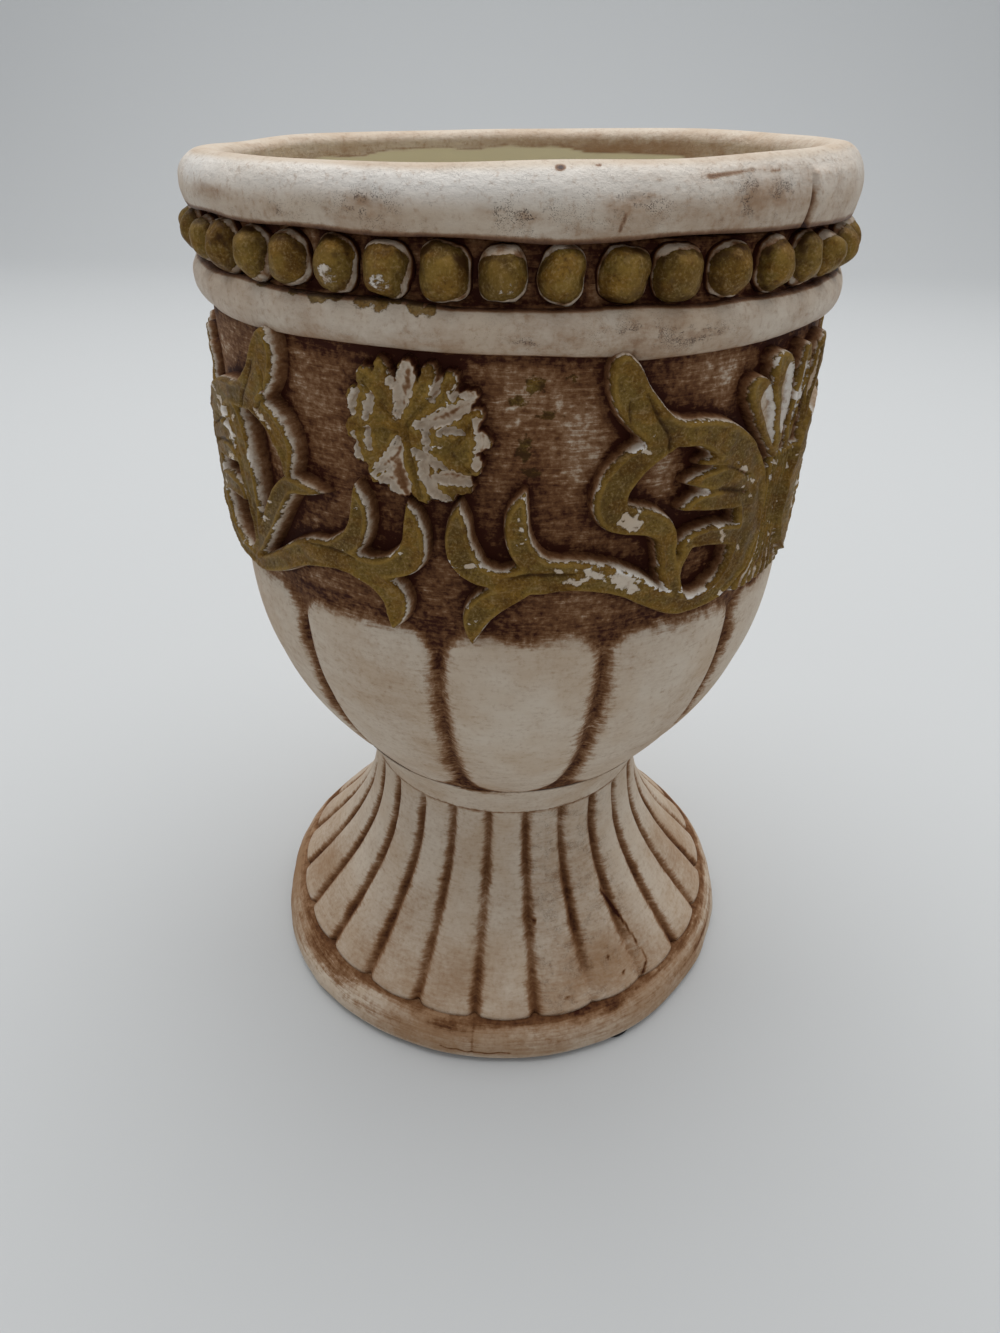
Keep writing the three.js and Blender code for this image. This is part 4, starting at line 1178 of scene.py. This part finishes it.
def buildBeads(opts):
    rng = np.random.default_rng(opts["seed"])
    close = math.radians(opts["nearBead"])
    bm = bmesh.new()
    bmesh.ops.create_icosphere(bm, subdivisions=5, radius=1)
    ball = finishMesh("bead", bm)
    x, y, z = (corners(ball) * mm).T
    flat = np.hypot(x, y)
    for i in range(opts["count"]):
        node = f"bead_{i + 1:02d}"
        low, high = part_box(node)
        middle = (low + high) / 2 / mm
        place = math.atan2(middle.x, -middle.y)
        wider, rubbedThrough = (min(abs(angleGap(place, math.radians(at))) for at in opts[key]) < close
                          for key in ("wideBeads", "rubbedBeads"))
        turn = place + math.radians(rng.uniform(*opts["turns"]))
        wide = opts["wide"] * (opts["wider"] if wider else rng.uniform(*opts["widths"]))
        tall = opts["high"] * rng.uniform(*opts["heights"])
        deep = opts["deep"] * rng.uniform(*opts["depths"])
        tilt = math.radians(rng.uniform(*opts["tilts"]))
        n = opts["squareness"] + rng.uniform(*opts["squarer"])
        # a ball with a squarish outline, turned and dented
        square = flat / np.maximum((np.abs(x) ** n + np.abs(y) ** n) ** (1 / n), 1e-6)
        square = 1 + (square - 1) * ease(0.1, 0.6, flat)
        u, v = x * square * wide, y * square * tall
        w = np.where(z > 0, np.abs(z) ** 1.1 * deep, z * 1.2)
        u, v = u * math.cos(tilt) - v * math.sin(tilt), u * math.sin(tilt) + v * math.cos(tilt)
        local = np.stack([u, v, w], 1)
        apart = local + i * 31.0
        dent = 0.2 * lumps(apart, 4.5, 51) + 0.07 * lumps(apart, 1.8, 52)
        scale = 1 + dent / np.maximum(np.linalg.norm(local, axis=1), 2)
        u, v, w = u * scale, v * scale, np.where(w > 0, w * scale, w)
        mesh = ball.copy()
        movePlaces(mesh, fromPolar(turn + u / (opts["seat"] + w), opts["seat"] + w, middle.z + v))
        # gold on the crown, bared at the top, the side or the foot
        share = w / deep
        bareTop = rng.uniform(0.06, 0.44) * ease(0.35, 0.85, v / tall)
        bareSide = rng.uniform(0.0, 0.2) * ease(0.2, 1.0, (u / wide - v / tall) / 1.4)
        bareFoot = rng.uniform(-0.1, 0.25) * ease(0.4, 0.9, -v / tall)
        gilt = np.clip(0.5 + (share - 0.25 - bareTop - bareSide - bareFoot) / 0.25, -0.4, 1.1)
        spot = np.hypot((u - 0.4) / wide, (v + 1.2) / tall)
        rub = 0.6 if rubbedThrough else 0.5 * rng.uniform(0, 1) ** 2
        gilt = gilt - rub * ease(0.75, 0.2, spot)
        golden = np.clip(gilt, 0, 1)
        # wash round the seat, and thinly over the gold
        wash = 0.95 * ease(0.24, 0.08, share) + 0.42 * ease(0.95, 0.3, share) * golden
        # painted shade: the gold darker towards the top of each bead, under the rim
        wash = wash + (0.2 * lumps(apart, 2.2, 53) + 0.16 * ease(0.1, 0.9, v / tall)) * golden
        wash = wash + (1 - golden) * np.clip(0.2 + 0.16 * lumps(apart, 1.6, 55), 0, 1)
        # painted highlight on each bead's crown
        paintedShine = 0.6 * ease(0.7, 1.0, share + 0.2 * lumps(apart, 2.5, 54))
        paint(mesh, gilt=gilt, wash=wash, stain=0.2, paintedShine=paintedShine)
        addPiece(f"pressed_{node}", mesh, giltBead, "old_gold", node)


giltBead = antiquedClay("giltBead", streak=(900, 900, 500), fringe=0.4, grit=0.9, wear=0.12, scuff=0.15)
buildBeads(beads)
print("beads built")


# The neck collar
collar = {"steps": 360, "waist": 36.05, "flare": 5.65, "bore": 26.0, "flarePulls": ((0.9, 0.4), (2.6, 0.55))}


def buildCollar(opts):
    height = collarTop - collarFoot
    waist, bore = opts["waist"], opts["bore"]
    pulls = [(waist + x, collarFoot + height * share) for x, share in opts["flarePulls"]]
    profile = joinCurves(
        straight((bore, collarFoot), (waist, collarFoot), 3),
        bezier((waist, collarFoot), *pulls, (waist + opts["flare"], collarTop), 30),
        straight((waist + opts["flare"], collarTop), (bore, collarTop), 6),
        straight((bore, collarTop), (bore, collarFoot), 4),
    )[:-1]
    mesh = turnProfile("collar", profile, opts["steps"], True)
    angle, radius, level = polar(corners(mesh))
    places = fromPolar(angle, radius, level)
    up = (level - collarFoot) / height
    out = radius > waist - 0.1
    radius = radius + out * 0.15 * lumps(places, 16, 61) * ease(0, 0.2, up) * ease(1, 0.8, up)
    movePlaces(mesh, fromPolar(angle, radius, level))
    wash = (0.26 + 0.2 * lumps(places, 9, 62)) * ease(0.74, 1.0, up) + 0.36 * ease(0.07, 0.0, up)
    paint(mesh, wash=wash, stain=0.22, pits=0.3)
    addPiece("clay_collar", mesh, agedClay, "cream_clay", "neck_collar")


buildCollar(collar)
print("collar built")


# The reeded pedestal
pedestal = {
    "reeds": 24,
    "samples": 24,  # columns of points to a reed
    "turn": 6.4,
    "foot": 61.3,
    "footPull": (15.8, 18),
    "waist": 36.05,
    "waistPull": 20.4,
    "wall": 6.0,
    "groove": 1.0,
    "grooveWidth": 1.15,
    "bow": 0.9,
    "grooveWash": 0.55,
    "washWidth": 1.95,
    "crackWash": 0.75,
    "worn": (2, 3),  # grooves that fade towards the foot
    "greyFrom": 21.4,  # the reeds between these angles are greyer
    "greyTo": 62,
}
reedCrack = [(48.9, 32.3), (51.6, 28), (53.6, 22.4), (55, 16), (54.9, 14.2), (52.4, 12.2)]
reedPits = [(43.7, 19.2, 0.5, 0.5), (30.3, 14.6, 0.5, 0.4), (23.4, 30.2, 0.4, 0.5), (47, 15, 0.6, 0.4)]


def buildPedestal(opts):
    def flare(inset, steps):
        foot, waist = opts["foot"] - inset, opts["waist"] - inset
        inwards, upwards = opts["footPull"]
        return bezier((foot, reedFoot), (foot - inwards, reedFoot + upwards),
                      (waist, reedTop - opts["waistPull"]), (waist, reedTop), steps)

    profile = joinCurves(flare(0, 120), flare(opts["wall"], 18)[::-1],
                         straight((opts["foot"] - opts["wall"], reedFoot), (opts["foot"], reedFoot), 3))[:-1]
    steps = opts["reeds"] * opts["samples"]
    mesh = turnProfile("pedestal", profile, steps, True)
    angle, radius, height = polar(corners(mesh))
    pitch = 2 * math.pi / opts["reeds"]
    # columns are drawn closer together at the grooves
    share = (angle / pitch) % 1
    centred = share - np.round(share)
    near = np.sign(centred) * (np.abs(centred) - 0.1 * np.sin(2 * math.pi * np.abs(centred)))
    reed = np.floor(angle / pitch + 0.5) % opts["reeds"]
    angle = math.radians(opts["turn"]) + (reed + near) * pitch
    innerRadius = np.interp(height, *flare(opts["wall"], 60).T[::-1])
    outside = radius > innerRadius + opts["wall"] * 0.6
    # grooves between bowed reeds, which round off at the foot
    beside = np.abs(near) * pitch * radius
    slender = (radius / opts["foot"]) ** 0.5
    up = (height - reedFoot) / (reedTop - reedFoot)
    shallow = 1 - 0.85 * ease(0.35, 0.02, up) * np.isin(reed, opts["worn"])
    depth = opts["groove"] * np.exp(-(beside / (opts["grooveWidth"] * slender)) ** 2) * shallow
    bow = opts["bow"] * slender * (np.abs(near) * 2 - 1) ** 2
    ends = ease(0.0, 0.022, up)
    places = fromPolar(angle, radius, height)
    hand = 0.10 * lumps(places, 16, 71) + 0.05 * lumps(places, 5, 72)
    fall = depth + bow - hand * ease(0, 0.05, up) * ease(1, 0.95, up) + 0.9 * (1 - ends)
    newRadius = radius - np.where(outside, fall * ease(1.0, 0.97, up), 0)
    movePlaces(mesh, fromPolar(angle, newRadius, height))
    # wash in the grooves and at both ends, and some greyer reeds at the right
    strength = opts["grooveWash"] + 0.14 * lumps(places, 14, 73) + 0.1 * ease(0.9, 0.5, up)
    wash = strength * np.exp(-(beside / (opts["washWidth"] * slender)) ** 2) * (0.3 + 0.7 * shallow)
    wash = np.maximum(wash, (0.22 + 0.16 * lumps(places, 12, 75)) * ease(0.022, 0.0, up))
    wash = np.maximum(wash, 0.4 * ease(0.975, 1.0, up))
    turned = np.degrees(angle)
    grey = ease(opts["greyFrom"] - 0.4, opts["greyFrom"] + 0.4, turned)
    grey = grey * ease(opts["greyTo"], opts["greyTo"] - 8, turned)
    cracked = crackLine(angle, height, radius, reedCrack, 0.32) * outside
    wash = wash + 0.05 * grey + opts["crackWash"] * cracked
    wash = wash + 0.9 * spots(angle, height, radius, reedPits)
    stain = 0.22 + 0.28 * ease(0.6, 0.0, up) + 0.10 * lumps(places, 20, 74) + 0.12 * grey
    paint(mesh, wash=np.where(outside, wash, 0.2), stain=np.where(outside, stain, 0.4),
          pits=0.25 + 0.5 * grey)
    addPiece("clay_pedestal", mesh, reedClay, "cream_clay", "pedestal")


reedClay = antiquedClay("reedClay", streak=(200, 200, 1900), fringe=0.34, cloud=0.45)
buildPedestal(pedestal)
print("pedestal built")


# The foot ring and its pads
footRing = {
    "steps": 720,
    "foot": 65.3,
    "top": 60.7,
    "bore": 54.0,
    "edge": 1.6,
    "seam": 6.4,  # angle of a faint joint, degrees
    "slump": 1.2,  # the ring bulges a little
    "slumpSide": -37,  # at this side
    "slumpWidth": 0.42,
    "stain": 0.62,
    "smearWash": 0.46,
    "crackleWash": 0.75,
}
ringSmears = [(34, 11.2, 5, 1.4), (41, 10, 4, 1.6), (-40, 9, 12, 1.4), (74, 7, 9, 1), (0, 9.4, 6, 1.0),
              (160, 8, 16, 1.8), (-130, 8, 14, 1.6)]
ringCrackle = [(-0.8, 4.4), (1.2, 3.8), (3.0, 4.2), (5.4, 3.6), (8.2, 4.0), (10.6, 3.5), (12.8, 4.1),
               (15.2, 3.7)]


def buildFootRing(opts):
    height = ringTop - ringFoot
    foot = opts["foot"]
    profile = joinCurves(
        straight((opts["bore"], ringFoot), (foot - opts["edge"], ringFoot), 5),
        ellipse((foot - opts["edge"], ringFoot + opts["edge"]), opts["edge"], opts["edge"], -90, 0, 7),
        bezier((foot, ringFoot + opts["edge"]), (foot - 0.2, ringFoot + height * 0.5),
               (foot - 1.4, ringFoot + height * 0.86), (opts["top"], ringTop), 30),
        straight((opts["top"], ringTop), (opts["bore"], ringTop), 3),
        straight((opts["bore"], ringTop), (opts["bore"], ringFoot), 4),
    )[:-1]
    mesh = turnProfile("footRing", profile, opts["steps"], True)
    angle, radius, level = polar(corners(mesh))
    places = fromPolar(angle, radius, level)
    up = (level - ringFoot) / height
    face = (radius > opts["top"] - 0.1) * ease(0.0, 0.12, up) * ease(1.0, 0.9, up)
    beside = angleGap(angle, math.radians(opts["seam"])) * radius
    smears = spots(angle, level, radius, ringSmears)
    # wobble, a faint joint and the bulge
    radius = radius + face * (0.22 * lumps(places, 24, 81) + 0.08 * lumps(places, 6, 82))
    radius = radius - face * 0.25 * np.exp(-(beside / 0.5) ** 2)
    slump = np.exp(-(angleGap(angle, math.radians(opts["slumpSide"])) / opts["slumpWidth"]) ** 2)
    radius = radius + opts["slump"] * slump * ease(0.9, 0.3, up) * (radius > opts["top"] - 0.1)
    movePlaces(mesh, fromPolar(angle, radius, level))
    # wash along the top edge, in smears and in a crackle
    wash = (0.38 + 0.14 * lumps(places, 26, 84)) * ease(0.82, 1.0, up)
    wash = wash + 0.2 * ease(0.15, 0.6, up) + opts["smearWash"] * smears
    wash = wash + opts["crackleWash"] * crackLine(angle, level, radius, ringCrackle, 0.28)
    wash = wash + 0.3 * face * np.exp(-(beside / 0.4) ** 2)
    stain = opts["stain"] + 0.19 * lumps(places, 30, 83) - 0.35 * ease(0.25, 0.05, up) + 0.4 * smears
    paint(mesh, wash=wash, stain=stain, pits=0.35)
    addPiece("clay_foot_ring", mesh, footClay, "washed_clay", "foot_ring")


pads = {"count": 3, "steps": 48, "rounding": 0.3}


def buildPads(opts):
    for i in range(opts["count"]):
        node = f"foot_pad_{i + 1}"
        low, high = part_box(node)
        radius = (high.x - low.x) / 2
        bm = bmesh.new()
        bmesh.ops.create_cone(bm, cap_ends=True, segments=opts["steps"], radius1=radius, radius2=radius,
                              depth=high.z - low.z)
        rims = [edge for edge in bm.edges if edge.calc_face_angle(0) > 1]
        bmesh.ops.bevel(bm, geom=rims, offset=opts["rounding"] * mm, offset_type="OFFSET", affect="EDGES",
                        segments=3, profile=0.5, material=-1)
        bmesh.ops.translate(bm, verts=bm.verts, vec=(low + high) / 2)
        addPiece(f"felt_pad_{i + 1}", finishMesh(node, bm), blackFelt, "black_felt", node)


footClay = antiquedClay("footClay", streak=(60, 60, 1300), fringe=0.46, fleck=0.5, scored=0.12)
buildFootRing(footRing)
buildPads(pads)
print("foot built")


# Floor, backdrop and light, in metres
stage = {
    "sweep": srgb(203, 206, 208),
    "rough": 0.9,
    "half": 2.2,
    "near": -2.0,
    "back": 1.1,  # where the floor curves up
    "curve": 0.5,
    "top": 2.4,
}
light = {
    "room": (0.97, 0.98, 1.0, 1.0),
    "roomStrength": 0.41,
    "place": (-0.05, 0.36, 1.3),
    "aim": (0, 0.05, 0.1),
    "size": (1.9, 1.4),
    "watts": 19,
    "color": (1.0, 0.985, 0.96),
}


def plainMaterial(name, color, roughness):
    material = bpy.data.materials.new(name)
    material.use_nodes = True
    shader = material.node_tree.nodes["Principled BSDF"]
    shader.inputs["Base Color"].default_value = color
    shader.inputs["Roughness"].default_value = roughness
    return material


def buildStage(opts):
    bm = bmesh.new()
    back, curve = opts["back"], opts["curve"]
    sweep = joinCurves(straight((opts["near"], 0), (back, 0), 4),
                       ellipse((back, curve), curve, curve, -90, 0, 16),
                       straight((back + curve, curve), (back + curve, opts["top"]), 3))
    heading = math.radians(view["side"])
    rows = [[bm.verts.new((side * opts["half"], away, up)) for away, up in sweep] for side in (-1, 1)]
    edges = [bm.edges.new(pair) for row in rows for pair in zip(row, row[1:])]
    bmesh.ops.bridge_loops(bm, edges=edges)
    bmesh.ops.rotate(bm, verts=bm.verts, cent=(0, 0, 0), matrix=Matrix.Rotation(heading, 3, "Z"))
    bmesh.ops.recalc_face_normals(bm, faces=bm.faces)
    if sum(face.normal.z for face in bm.faces) < 0:
        bmesh.ops.reverse_faces(bm, faces=bm.faces)
    sheet = bpy.data.objects.new("paper_sweep", finishMesh("paperSweep", bm, recalc=False))
    sheet.data.materials.append(plainMaterial("paleSweep", opts["sweep"], opts["rough"]))
    bpy.context.scene.collection.objects.link(sheet)


def buildRoomLight(opts):
    world = bpy.data.worlds.new("softRoom")
    world.use_nodes = True
    back = world.node_tree.nodes["Background"]
    back.inputs["Color"].default_value = opts["room"]
    back.inputs["Strength"].default_value = opts["roomStrength"]
    bpy.context.scene.world = world


def buildWindowLight(opts):
    data = bpy.data.lights.new("windowLight", "AREA")
    data.shape = "RECTANGLE"
    data.size, data.size_y = opts["size"]
    data.energy = opts["watts"]
    data.color = opts["color"]
    lamp = bpy.data.objects.new("windowLight", data)
    lamp.location = opts["place"]
    lamp.rotation_euler = (Vector(opts["aim"]) - Vector(opts["place"])).to_track_quat("-Z", "Y").to_euler()
    bpy.context.scene.collection.objects.link(lamp)


buildStage(stage)
buildRoomLight(light)
buildWindowLight(light)
bpy.context.scene.view_settings.view_transform = "Standard"
print("stage and light set")
